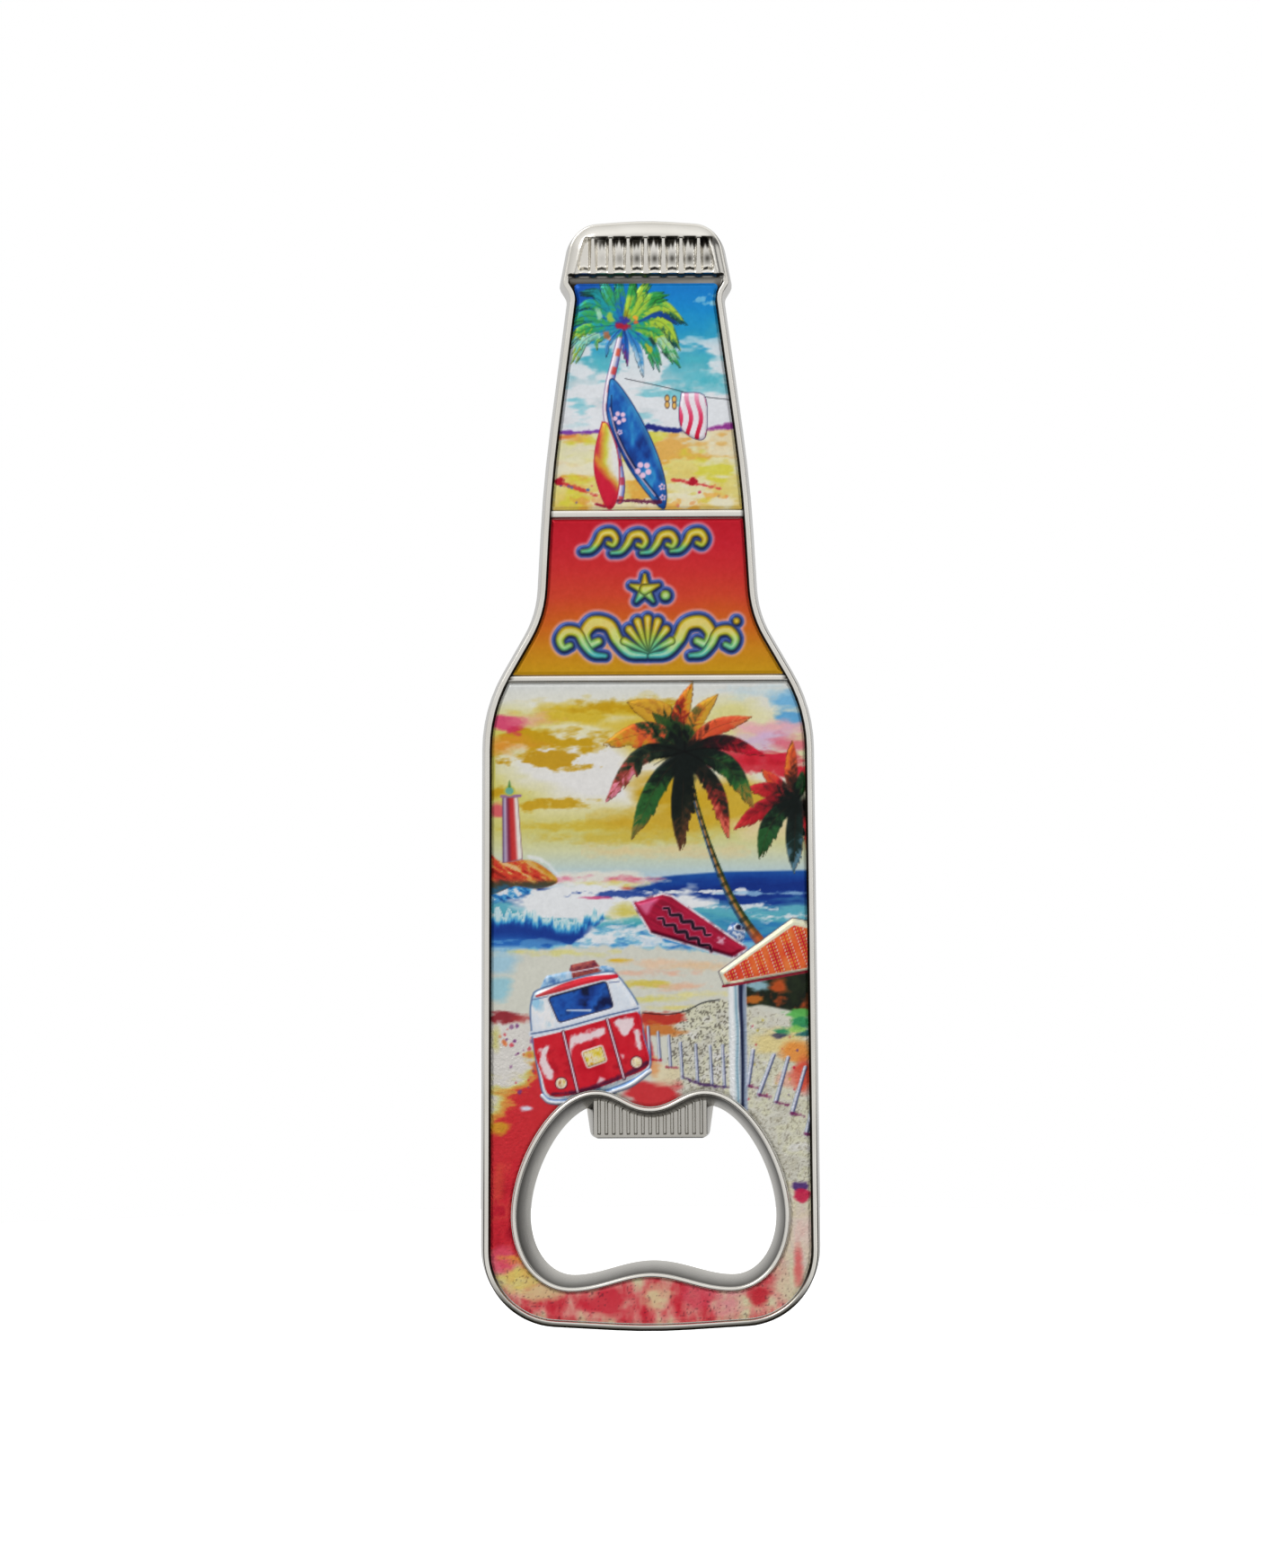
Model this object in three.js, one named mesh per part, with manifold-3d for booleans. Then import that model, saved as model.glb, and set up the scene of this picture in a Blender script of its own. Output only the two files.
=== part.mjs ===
// Souvenir bottle opener shaped like a long-neck bottle: a die-cast plate with three recessed foil panels.
// Millimetres. +X is right, +Z points to the cap end, the flat back lies in the plane y = 0 and the front faces -Y.
import * as THREE from "three";
import Module from "manifold-3d";

const wasm = await Module();
wasm.setup();
const { Manifold, CrossSection, Mesh } = wasm;

// Levels along Y, from the back (0) to the front (negative).
const RIM_Y = -5.0;            // flat top of the raised rim
const CAP_Y = -5.8;            // highest part of the crown-cap relief
const FOIL_FRONT_Y = -4.5;
const FOIL_BACK_Y = -4.25;
const FLOOR_Y = -4.1;          // bottom of the foil recesses
const BAR_Y = -4.85;           // top of the two separator bars

const BACK_DRAFT = 0.42;       // the outer wall leans out by this much towards the back
const RIM_WIDTH = 0.7;
const FIT_GAP = 0.1;           // round each foil, inside its recess
const FILM_INSET = 0.6;        // the adhesive film is this much smaller than its foil

// Heights of the panels, measured from the middle of the object.
const NECK_TOP_Z = 55.0;
const NECK_BOTTOM_Z = 29.6;
const TITLE_TOP_Z = 28.75;
const TITLE_BOTTOM_Z = 11.2;
const SCENE_TOP_Z = 10.5;

const LIP_WIDTH = 0.5;
const MOUTH_DRAFT = 1.2;       // the mouth's wall leans in by this much towards the back
const MOUTH_DROP = 0.3;        // and its back edge sits this much lower than its front edge
const MOUTH_SHIFT = 0.35;      // and this much further to the right

const TOOTH_Y = -2.4;          // front face of the tooth
const TOOTH_HALF_WIDTH = 6.4;
const TOOTH_TIP_Z = -40.6;
const RIB_COUNT = 15;
const RIB_PITCH = 0.818;

const FLUTE_COUNT = 8;
const FLUTE_PITCH = 1.96;

const MAGNET_RADIUS = 7.0;
const MAGNET_BACK_Y = -0.15;   // a little below the back face
const MAGNET_FRONT_Y = -1.95;
const POCKET_Y = -2.1;
const POCKET_RADIUS = 7.15;
const MAGNET_Z = { upper: 23.5, lower: -19.0 };

// A closed outline through corners [x, z, radius]: straight runs, joined by an arc of each corner's radius.
function rounded(corners, stepDegrees = 7) {
  const points = [];
  corners.forEach(([x, z, radius = 0], i) => {
    const before = corners[(i + corners.length - 1) % corners.length];
    const after = corners[(i + 1) % corners.length];
    const corner = new THREE.Vector2(x, z);
    if (radius === 0) {
      points.push(corner);
      return;
    }
    const into = corner.clone().sub(new THREE.Vector2(before[0], before[1])).normalize();
    const out = new THREE.Vector2(after[0], after[1]).sub(corner).normalize();
    const turn = Math.atan2(into.cross(out), into.dot(out));
    const start = corner.clone().addScaledVector(into, -radius * Math.tan(Math.abs(turn) / 2));
    const toCentre = new THREE.Vector2(-into.y, into.x).multiplyScalar(Math.sign(turn) * radius);
    const centre = start.clone().add(toCentre);
    const steps = Math.max(2, Math.ceil(THREE.MathUtils.radToDeg(Math.abs(turn)) / stepDegrees));
    for (let k = 0; k <= steps; k++) {
      points.push(start.clone().rotateAround(centre, (turn * k) / steps));
    }
  });
  return points;
}

// The same closed outline, each point moved outwards (counter-clockwise outline) by a distance.
function grown(points, distance) {
  return points.map((p, i) => {
    const before = points[(i + points.length - 1) % points.length];
    const after = points[(i + 1) % points.length];
    const a = p.clone().sub(before).normalize();
    const b = after.clone().sub(p).normalize();
    const normal = new THREE.Vector2(a.y + b.y, -a.x - b.x).normalize();
    const stretch = 1 / Math.max(0.5, normal.dot(new THREE.Vector2(a.y, -a.x)));
    return p.clone().addScaledVector(normal, distance * stretch);
  });
}

// Both halves of an outline given by its right half, from the bottom centre to the top centre.
function mirrored(half) {
  const left = half.filter(([x]) => x > 0).reverse().map(([x, z, r]) => [-x, z, r]);
  return [...half, ...left];
}

const section = (points) => new CrossSection([points.map((p) => [p.x, p.y])]);

// A cross-section drawn in X and Z, made solid between two levels of Y.
function plate(shape, backY, frontY) {
  return Manifold.extrude(shape, backY - frontY).rotate([90, 0, 0]).translate([0, backY, 0]);
}

// A solid through outlines of the same number of points, each at its own level of Y, from the back to the front.
function loft(layers) {
  const count = layers[0].points.length;
  const vertices = layers.flatMap(({ y, points }) => points.flatMap((p) => [p.x, y, p.y]));
  const triangles = [];
  for (let k = 0; k + 1 < layers.length; k++) {
    for (let i = 0; i < count; i++) {
      const next = (i + 1) % count;
      const [a, b] = [k * count + i, k * count + next];
      triangles.push([a, b, b + count], [a, b + count, a + count]);
    }
  }
  const last = (layers.length - 1) * count;
  for (const [a, b, c] of THREE.ShapeUtils.triangulateShape(layers[0].points, [])) {
    triangles.push([a, c, b]);
  }
  for (const [a, b, c] of THREE.ShapeUtils.triangulateShape(layers.at(-1).points, [])) {
    triangles.push([a + last, b + last, c + last]);
  }
  return new Manifold(new Mesh({
    numProp: 3,
    vertProperties: new Float32Array(vertices),
    triVerts: new Uint32Array(triangles.flat()),
  }));
}

function box(low, high) {
  const size = high.map((v, i) => v - low[i]);
  return Manifold.cube(size).translate(low);
}

// A disc whose axis is Y.
function disc(radius, z, backY, frontY) {
  return plate(CrossSection.circle(radius, 64).translate([0, z]), backY, frontY);
}

// ---- Outlines ----

const bottle = rounded(mirrored([
  [0, -62.0, 70],        // slightly bowed base
  [18.75, -60.9, 8.4],   // bottom corner
  [18.2, 7.5, 17],       // top of the side, which is a little wider at the bottom
  [12.1, 18.05, 12],     // foot of the neck
  [11.22, 33, 150],      // the neck narrows faster above this
  [8.42, 53.5, 1.6],     // under the cap's skirt
  [9.3, 54.9, 0.7],      // corner of the skirt
  [8.05, 61.3, 3.4],     // corner of the cap's top
  [0, 61.9, 40],         // slightly domed top
]));

// Right half of the lip's outer edge: the top dips between two humps, and the bottom rises in the middle.
const lipHalf = new THREE.Path()
  .moveTo(0, -55.9)
  .bezierCurveTo(3.0, -55.9, 5.6, -57.5, 8.9, -57.5)
  .bezierCurveTo(12.6, -57.5, 15.5, -54.0, 15.5, -49.1)
  .bezierCurveTo(15.5, -43.2, 11.0, -35.1, 6.1, -35.1)
  .bezierCurveTo(3.6, -35.1, 2.4, -37.0, 0, -37.0)
  .getPoints(9);
const lip = [
  ...lipHalf,
  ...lipHalf.slice(1, -1).reverse().map((p) => new THREE.Vector2(-p.x, p.y)),
];
const mouthFront = grown(lip, -LIP_WIDTH);
const mouthBack = grown(mouthFront, -MOUTH_DRAFT).map(
  (p) => new THREE.Vector2(p.x + MOUTH_SHIFT, p.y - MOUTH_DROP),
);

const between = (lowZ, highZ) => CrossSection.square([60, highZ - lowZ], true).translate([0, (lowZ + highZ) / 2]);
const inside = section(bottle).offset(-RIM_WIDTH, "Round", 2, 48);
const CORNER = 0.2;            // radius of the panels' corners at the bars
const NECK_CORNER = 0.9;       // and under the cap
const softened = (shape, radius) =>
  shape.offset(-radius, "Round", 2, 24).offset(radius, "Round", 2, 24).simplify(0.01);

const neckTop = softened(inside.intersect(between(NECK_BOTTOM_Z - 5, NECK_TOP_Z)), NECK_CORNER);
const panels = {
  neck: softened(neckTop.intersect(between(NECK_BOTTOM_Z, NECK_TOP_Z)), CORNER),
  title: softened(inside.intersect(between(TITLE_BOTTOM_Z, TITLE_TOP_Z)), CORNER),
  scene: softened(inside.intersect(between(-80, SCENE_TOP_Z)), CORNER).subtract(section(lip)),
};

// ---- The casting ----

function makeTooth() {
  const rootZ = -36.0;         // inside the wall above the mouth
  const front = [[-TOOTH_HALF_WIDTH, rootZ], [-TOOTH_HALF_WIDTH, TOOTH_TIP_Z + 0.25],
    [TOOTH_HALF_WIDTH, TOOTH_TIP_Z + 0.25], [TOOTH_HALF_WIDTH, rootZ]];
  const back = [[-TOOTH_HALF_WIDTH - 0.9, rootZ], [-TOOTH_HALF_WIDTH - 0.25, TOOTH_TIP_Z],
    [TOOTH_HALF_WIDTH + 0.25, TOOTH_TIP_Z], [TOOTH_HALF_WIDTH + 0.9, rootZ]];
  const asPoints = (list) => list.map(([x, z]) => new THREE.Vector2(x, z));
  let tooth = loft([{ y: 0, points: asPoints(back) }, { y: TOOTH_Y, points: asPoints(front) }]);
  for (let i = 0; i < RIB_COUNT; i++) {
    const x = (i - (RIB_COUNT - 1) / 2) * RIB_PITCH;
    tooth = tooth.add(box([x - 0.17, TOOTH_Y - 0.25, TOOTH_TIP_Z + 0.7], [x + 0.17, TOOTH_Y + 0.2, rootZ]));
  }
  return tooth;
}

// The cap's relief: a raised block with a sloping edge, and a row of upright hollows between its ridges.
function makeCapRelief() {
  const SKIRT_Z = 55.3;
  const top = section(bottle).offset(-0.15, "Round", 2, 48).intersect(between(SKIRT_Z, 70));
  const crown = section(bottle).offset(-1.0, "Round", 2, 48).intersect(between(SKIRT_Z + 0.35, 70));
  return plate(top, -4.5, (RIM_Y + CAP_Y) / 2).add(plate(crown, -4.5, CAP_Y));
}

function makeFlutes() {
  const hollows = [];
  for (let i = 0; i < FLUTE_COUNT; i++) {
    const x = (i - (FLUTE_COUNT - 1) / 2) * FLUTE_PITCH;
    const shape = CrossSection.square([0.3, 2.9], true).offset(0.55, "Round", 2, 24).translate([x, 57.9]);
    hollows.push(plate(shape, CAP_Y + 0.75, CAP_Y - 1));
  }
  return Manifold.union(hollows);
}

function makeCasting() {
  let body = loft([
    { y: 0, points: grown(bottle, BACK_DRAFT) },
    { y: RIM_Y, points: bottle },
  ]);
  body = body.add(makeCapRelief()).subtract(makeFlutes());
  for (const shape of Object.values(panels)) {
    body = body.subtract(plate(shape, FLOOR_Y, RIM_Y - 0.4));
  }
  for (const [lowZ, highZ] of [[TITLE_TOP_Z, NECK_BOTTOM_Z], [SCENE_TOP_Z, TITLE_BOTTOM_Z]]) {
    const bar = inside.intersect(between(lowZ - 1, highZ + 1));
    body = body.subtract(plate(bar, BAR_Y, RIM_Y - 0.4));
  }
  body = body.subtract(loft([
    { y: 1, points: mouthBack },
    { y: 0, points: mouthBack },
    { y: RIM_Y, points: mouthFront },
    { y: RIM_Y - 1, points: mouthFront },
  ]));
  for (const z of Object.values(MAGNET_Z)) {
    body = body.subtract(disc(POCKET_RADIUS, z, 1, POCKET_Y));
  }
  return body.add(makeTooth());
}

// ---- Every node ----

const root = new THREE.Group();

function node(name, solid) {
  const mesh = solid.getMesh();
  const positions = new Float32Array(mesh.numVert * 3);
  for (let i = 0; i < mesh.numVert; i++) {
    positions.set(mesh.vertProperties.subarray(i * mesh.numProp, i * mesh.numProp + 3), i * 3);
  }
  const geometry = new THREE.BufferGeometry();
  geometry.setAttribute("position", new THREE.BufferAttribute(positions, 3));
  geometry.setIndex(new THREE.BufferAttribute(mesh.triVerts, 1));
  const made = new THREE.Mesh(geometry);
  made.name = name;
  root.add(made);
}

node("casting", makeCasting());

for (const [name, shape] of Object.entries(panels)) {
  const foil = shape.offset(-FIT_GAP, "Round", 2, 24);
  node(name + "_foil", plate(foil, FOIL_BACK_Y, FOIL_FRONT_Y));
  node(name + "_adhesive", plate(foil.offset(-FILM_INSET, "Round", 2, 24), FLOOR_Y, FOIL_BACK_Y));
}

for (const [name, z] of Object.entries(MAGNET_Z)) {
  node(name + "_magnet", disc(MAGNET_RADIUS, z, MAGNET_BACK_Y, MAGNET_FRONT_Y));
  node(name + "_magnet_glue", disc(MAGNET_RADIUS - 1, z, MAGNET_FRONT_Y, POCKET_Y));
}

export default root;
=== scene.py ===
"""Looks of the souvenir bottle opener: nickel-plated casting, embossed printed foils, films, magnets, glue.

Lengths are in millimetres until a mesh is made. x is right, z points to the cap end and the front faces -y.
A "height" is the distance in front of the flat back, so a point's y is minus its height.
"""
import math

import bpy
import numpy as np
from mathutils.geometry import tessellate_polygon
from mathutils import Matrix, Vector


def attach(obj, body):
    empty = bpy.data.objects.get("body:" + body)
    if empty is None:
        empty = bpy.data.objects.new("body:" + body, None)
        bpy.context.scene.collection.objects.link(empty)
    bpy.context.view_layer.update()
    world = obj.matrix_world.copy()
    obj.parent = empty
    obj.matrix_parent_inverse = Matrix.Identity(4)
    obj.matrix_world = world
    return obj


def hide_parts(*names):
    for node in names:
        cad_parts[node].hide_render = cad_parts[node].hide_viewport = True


MM = 0.001

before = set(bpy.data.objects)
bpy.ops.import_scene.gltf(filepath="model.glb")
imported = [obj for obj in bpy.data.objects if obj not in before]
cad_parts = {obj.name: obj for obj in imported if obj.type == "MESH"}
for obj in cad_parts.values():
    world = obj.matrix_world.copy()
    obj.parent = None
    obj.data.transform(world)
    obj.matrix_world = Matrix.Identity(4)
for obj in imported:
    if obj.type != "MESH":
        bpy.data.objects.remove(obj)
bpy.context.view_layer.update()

# Heights, the same as in the solid model.
RIM = 5.0
CAP = 5.8
FOIL_FRONT = 4.5
FOIL_BACK = 4.25
FLOOR = 4.1
BAR = 4.85
TOOTH = 2.4

# Widths, gaps and places, also the same as in the solid model.
BACK_DRAFT = 0.42
RIM_WIDTH = 0.7
FIT_GAP = 0.1
LIP_WIDTH = 0.5
MOUTH_DRAFT = 1.2
MOUTH_DROP = 0.3
MOUTH_SHIFT = 0.35
NECK_TOP_Z, NECK_BOTTOM_Z = 55.0, 29.6
TITLE_TOP_Z, TITLE_BOTTOM_Z = 28.75, 11.2
SCENE_TOP_Z = 10.5
SKIRT_Z, HOLLOW_TOP_Z, HOLLOW_PITCH = 55.25, 59.9, 1.96
MAGNET_RADIUS = 7.0
POCKET_RADIUS = 7.15
POCKET_DEPTH = 2.1
MAGNET_Z = {"upper": 23.5, "lower": -19.0}
EJECTOR_MARKS = [(0, 44), (-11.5, 3), (11.5, 3)]


def smoothstep(low, high, value):
    t = np.clip((value - low) / (high - low), 0, 1)
    return t * t * (3 - 2 * t)


# ---------------------------------------------------------------- outlines

def rounded(corners, step=5.0):
    """A closed outline through corners (x, z, radius): straight runs joined by arcs."""
    points = []
    count = len(corners)
    for i, (x, z, radius) in enumerate(corners):
        here = np.array((x, z))
        into = here - corners[i - 1][:2]
        out = np.array(corners[(i + 1) % count][:2]) - here
        into = into / np.hypot(*into)
        out = out / np.hypot(*out)
        turn = math.atan2(into[0] * out[1] - into[1] * out[0], into @ out)
        start = here - into * radius * math.tan(abs(turn) / 2)
        centre = start + math.copysign(radius, turn) * np.array((-into[1], into[0]))
        arm = start - centre
        steps = max(3, math.ceil(math.degrees(abs(turn)) / step))
        for k in range(steps + 1):
            c, s = math.cos(turn * k / steps), math.sin(turn * k / steps)
            points.append(centre + (arm[0] * c - arm[1] * s, arm[0] * s + arm[1] * c))
    return np.array(points)


def mirrored(half):
    """The whole outline from its right half, which runs from the bottom centre to the top centre."""
    left = [(-x, z, r) for x, z, r in reversed(half) if x > 0]
    return half + left


def bezier(start, *curves, steps=24):
    """Points along cubic curves, each given as (handle, handle, end)."""
    points = [np.array(start, float)]
    for curve in curves:
        a, b, c, d = points[-1], *(np.array(p, float) for p in curve)
        for t in np.arange(1, steps + 1) / steps:
            points.append((1 - t) ** 3 * a + 3 * t * (1 - t) ** 2 * b + 3 * t * t * (1 - t) * c + t ** 3 * d)
    return np.array(points)


def even(points, spacing):
    """The same closed outline with points at an even spacing."""
    loop = np.vstack([points, points[:1]])
    run = np.concatenate([[0], np.cumsum(np.hypot(*np.diff(loop, axis=0).T))])
    count = int(round(run[-1] / spacing))
    at = np.arange(count) * run[-1] / count
    return np.stack([np.interp(at, run, loop[:, 0]), np.interp(at, run, loop[:, 1])], axis=1)


def grown(points, distance):
    """The same outline, moved out by a distance."""
    along = np.roll(points, -1, axis=0) - np.roll(points, 1, axis=0)
    along /= np.hypot(along[:, 0], along[:, 1])[:, None]
    return points + distance * np.stack([along[:, 1], -along[:, 0]], axis=1)


BOTTLE_HALF = [
    (0, -62.0, 70),
    (18.75, -60.9, 8.4),
    (18.2, 7.5, 17),
    (12.1, 18.05, 12),
    (11.22, 33, 150),
    (8.42, 53.5, 1.6),
    (9.3, 54.9, 0.7),
    (8.05, 61.3, 3.4),
    (0, 61.9, 40),
]
bottle = even(rounded(mirrored(BOTTLE_HALF)), 0.3)

lip_half = bezier(
    (0, -55.9),
    ((3.0, -55.9), (5.6, -57.5), (8.9, -57.5)),
    ((12.6, -57.5), (15.5, -54.0), (15.5, -49.1)),
    ((15.5, -43.2), (11.0, -35.1), (6.1, -35.1)),
    ((3.6, -35.1), (2.4, -37.0), (0, -37.0)),
)
lip = even(np.vstack([lip_half, lip_half[-2:0:-1] * (-1, 1)]), 0.25)


# ---------------------------------------------------------------- meshes

def make_object(name, vertices, faces):
    mesh = bpy.data.meshes.new(name)
    mesh.from_pydata(np.asarray(vertices) * MM, [], faces)
    mesh.update()
    made = bpy.data.objects.new(name, mesh)
    bpy.context.scene.collection.objects.link(made)
    return made


def grid_faces(rows, columns, start=0, flip=False, wrap=False):
    """Quads over vertices numbered row by row. They face -y if x grows along a row and z up a column."""
    row, column = np.meshgrid(np.arange(rows - 1), np.arange(columns if wrap else columns - 1), indexing="ij")
    after = (column + 1) % columns
    corners = [row * columns + column, row * columns + after, (row + 1) * columns + after,
        (row + 1) * columns + column]
    if flip:
        corners.reverse()
    return (np.stack(corners, axis=-1).reshape(-1, 4) + start).tolist()


def swept(name, outline, profile, closed=False, shift=None):
    """A solid whose section follows an outline. Each profile point is (growth of the outline, height)."""
    rings = []
    for growth, height in profile:
        ring = grown(outline, growth)
        aside, rise = shift(height) if shift else (0.0, 0.0)
        rings.append(np.stack([ring[:, 0] + aside, np.full(len(ring), -height), ring[:, 1] + rise], axis=1))
    count = len(outline)
    if closed:
        rings.append(rings[0])
    faces = grid_faces(len(rings), count, wrap=True)
    if closed:
        total = (len(rings) - 1) * count
        faces = [[i % total for i in face] for face in faces]
        rings.pop()
    else:
        faces.append(list(range(count))[::-1])
        faces.append(list(range((len(rings) - 1) * count, len(rings) * count)))
    return make_object(name, np.vstack(rings), faces)


def height_solid(name, x, z, height, back_x, back_z, back_height):
    """A solid between a relief given on a grid and a back grid of the same size."""
    rows, columns = x.shape
    front = np.stack([x, -height, z], axis=-1).reshape(-1, 3)
    back = np.stack([back_x, -np.broadcast_to(back_height, x.shape), back_z], axis=-1).reshape(-1, 3)
    total = rows * columns
    faces = grid_faces(rows, columns) + grid_faces(rows, columns, start=total, flip=True)
    rim = [(0, c) for c in range(columns)] + [(r, columns - 1) for r in range(1, rows)]
    rim += [(rows - 1, c) for c in range(columns - 2, -1, -1)] + [(r, 0) for r in range(rows - 2, 0, -1)]
    for (r0, c0), (r1, c1) in zip(rim, rim[1:] + rim[:1]):
        a, b = r0 * columns + c0, r1 * columns + c1
        faces.append([a, a + total, b + total, b])
    return make_object(name, np.vstack([front, back]), faces)


def arc(centre, radius, first, last, steps=5):
    """Profile points on an arc, angles in degrees: 0 points outwards and 90 points to the front."""
    angles = np.radians(np.linspace(first, last, steps + 1))
    return [(centre[0] + radius * math.cos(a), centre[1] + radius * math.sin(a)) for a in angles]


def apply_modifiers(target):
    graph = bpy.context.evaluated_depsgraph_get()
    mesh = bpy.data.meshes.new_from_object(target.evaluated_get(graph))
    target.modifiers.clear()
    target.data = mesh


def combine(target, tool, operation):
    """Joins a solid to the target or cuts it away, and removes the tool."""
    cut = target.modifiers.new("combine", "BOOLEAN")
    cut.operation = operation
    cut.solver = "MANIFOLD"
    cut.object = tool
    apply_modifiers(target)
    bpy.data.objects.remove(tool)


def shade(target, angle=34):
    """Smooth shading with true flats: sharp edges are kept and large faces set the normals beside them."""
    target.data.shade_smooth()
    target.data.set_sharp_from_angle(angle=math.radians(angle))
    weigh = target.modifiers.new("weigh", "WEIGHTED_NORMAL")
    weigh.keep_sharp = True
    apply_modifiers(target)


def circle(radius, z, count=96):
    angles = np.arange(count) * 2 * math.pi / count
    return np.stack([radius * np.cos(angles), z + radius * np.sin(angles)], axis=1)


# ---------------------------------------------------------------- the casting

def make_plate():
    profile = arc((BACK_DRAFT - 0.25, 0.25), 0.25, -90, 0)
    profile += [(0.028 * BACK_DRAFT, RIM - 0.34)] + arc((-0.22, RIM - 0.22), 0.22, 4, 90)
    profile += arc((-0.47, RIM - 0.2), 0.2, 90, 176)
    profile += [(-RIM_WIDTH + 0.02, FLOOR + 0.1), (-RIM_WIDTH, FLOOR)]
    return swept("casting", bottle, profile)


def make_lip():
    """The raised ridge round the mouth, with the mouth's leaning wall behind it."""
    def shift(height):
        back = max(0.0, 1 - height / 4.85)
        return MOUTH_SHIFT * back, -MOUTH_DROP * back

    back_growth = -LIP_WIDTH - MOUTH_DRAFT
    profile = [(0, FLOOR - 0.2), (-0.01, RIM - 0.36)]
    profile += arc((-0.24, RIM - 0.28), 0.24, 8, 90, 7)
    profile += arc((-0.27, RIM - 0.26), 0.22, 88, 165, 5)
    profile += [(-LIP_WIDTH - 0.02, RIM - 0.42), (-LIP_WIDTH - 0.12, RIM - 0.75)]
    profile += arc((back_growth + 0.22, 0.22), 0.22, 172, 270)
    profile += [(-0.45, 0)]
    return swept("lip", lip, profile, closed=True, shift=shift)


def make_bar(low_z, high_z):
    """A separator bar with rounded edges, running into the rim at both ends."""
    middle = (low_z + high_z) / 2
    half = (high_z - low_z) / 2
    width = np.interp(middle, bottle[:len(bottle) // 2, 1], bottle[:len(bottle) // 2, 0])
    x = np.linspace(-width + 0.3, width - 0.3, 60)
    across = np.radians(np.linspace(-90, 90, 13))
    z = middle + (half + 0.03) * np.sin(across)
    height = BAR - 0.42 + 0.42 * np.cos(across) ** 0.45
    x, z = np.meshgrid(x, z)
    height = np.broadcast_to(height[:, None], x.shape)
    return height_solid("bar", x, z, height, x, z, FLOOR - 0.4)


def make_tooth():
    """The ledge that hooks under a cap: its sides lean out to the back, and it has a row of upright ribs."""
    half_width, tip, root = 6.4, -40.6, -36.0
    rib_count, rib_pitch, rib_radius = 15, 0.818, 0.19
    x = np.linspace(-half_width, half_width, 361)
    z = np.concatenate([[tip, tip + 0.04, tip + 0.12], np.linspace(tip + 0.25, root, 60)])
    x, z = np.meshgrid(x, z)
    corner = np.clip((np.abs(x) - half_width + 0.7) / 0.7, 0, 1)
    z = z + 0.7 * (1 - np.sqrt(1 - corner ** 2)) * smoothstep(tip + 1.5, tip, z)
    nearest = (np.round(x / rib_pitch)).clip(-(rib_count // 2), rib_count // 2) * rib_pitch
    rib = np.sqrt(np.clip(1 - ((x - nearest) / rib_radius) ** 2, 0, 1))
    fade = np.clip((z - tip - 0.42) / 0.18, 0, 1)
    to_edge = np.minimum(half_width - np.abs(x), z - tip)
    bevel = 0.16 * (1 - np.sqrt(np.clip(1 - (1 - np.clip(to_edge / 0.16, 0, 1)) ** 2, 0, 1)))
    height = TOOTH - 0.04 + 0.24 * rib * fade - bevel
    lean = 0.25 + 0.65 * (z - tip) / (root - tip)
    back_x = x * (half_width + lean) / half_width
    back_z = tip - 0.12 + (z - tip) * (root - tip + 0.12) / (root - tip)
    return height_solid("tooth", x, z, height, back_x, back_z, 0.0)


def distance_to(outline, x, z):
    """Distance from each point to a closed outline."""
    best = np.full(x.shape, 1e9)
    for a, b in zip(outline, np.roll(outline, -1, axis=0)):
        edge = b - a
        t = np.clip(((x - a[0]) * edge[0] + (z - a[1]) * edge[1]) / (edge @ edge + 1e-9), 0, 1)
        best = np.minimum(best, (x - a[0] - t * edge[0]) ** 2 + (z - a[1] - t * edge[1]) ** 2)
    return np.sqrt(best)


def make_cap():
    """The crown cap's relief: a domed frame round a row of upright hollows, over a scalloped lower edge."""
    right = bottle[:len(bottle) // 2 + 1]
    border = right[(right[:, 1] > SKIRT_Z) & (right[:, 0] > 0.05)]
    z = np.repeat(border[:, 1:], 321, axis=1)
    x = border[:, :1] * np.linspace(-1, 1, 321)[None, :]
    fine = np.linspace(0, len(border) - 1, 3 * len(border))
    x = np.stack([np.interp(fine, np.arange(len(border)), column) for column in x.T], axis=1)
    z = np.stack([np.interp(fine, np.arange(len(border)), column) for column in z.T], axis=1)
    side = distance_to(bottle[bottle[:, 1] > 50], x, z)
    dome = 4.0 + (CAP - 4.0) * np.sqrt(1 - (1 - np.clip(side / 1.7, 0, 1)) ** 2)

    phase = np.abs(((x / HOLLOW_PITCH) % 1.0) - 0.5) * 2   # 0 in the middle of a hollow, 1 on a ridge
    top = smoothstep(59.95, 59.72, z)
    half_width = 6.75 + (HOLLOW_TOP_Z - z) / 3.9 * 1.15
    inside = top * smoothstep(half_width + 0.12, half_width - 0.12, np.abs(x))
    down = np.clip((HOLLOW_TOP_Z - z) / 3.9, 0, 1)         # 0 at the top of the hollows, 1 at their foot
    hollow = smoothstep(0.9 - 0.16 * down, 0.45, phase)
    floor = 0.95 - 0.45 * down
    floor = floor * smoothstep(56.0, 56.9, z + 0.25 * phase)
    ridge = 0.14 + 0.12 * down
    height = dome - inside * (ridge + floor * hollow)

    scallop = 55.62 + 0.16 * (1 - phase ** 2)              # lower edge of the skirt
    foot = smoothstep(scallop - 0.12, scallop + 0.2, z)
    near_edge = smoothstep(8.9, 8.3, np.abs(x))
    low = 4.88 - 0.3 * smoothstep(0.0, 0.5, 55.6 - z)
    height = height - near_edge * (1 - foot) * np.clip(height - low, 0, 9)
    return height_solid("cap", x, z, height, x * 0.97, z, 3.4)


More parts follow.
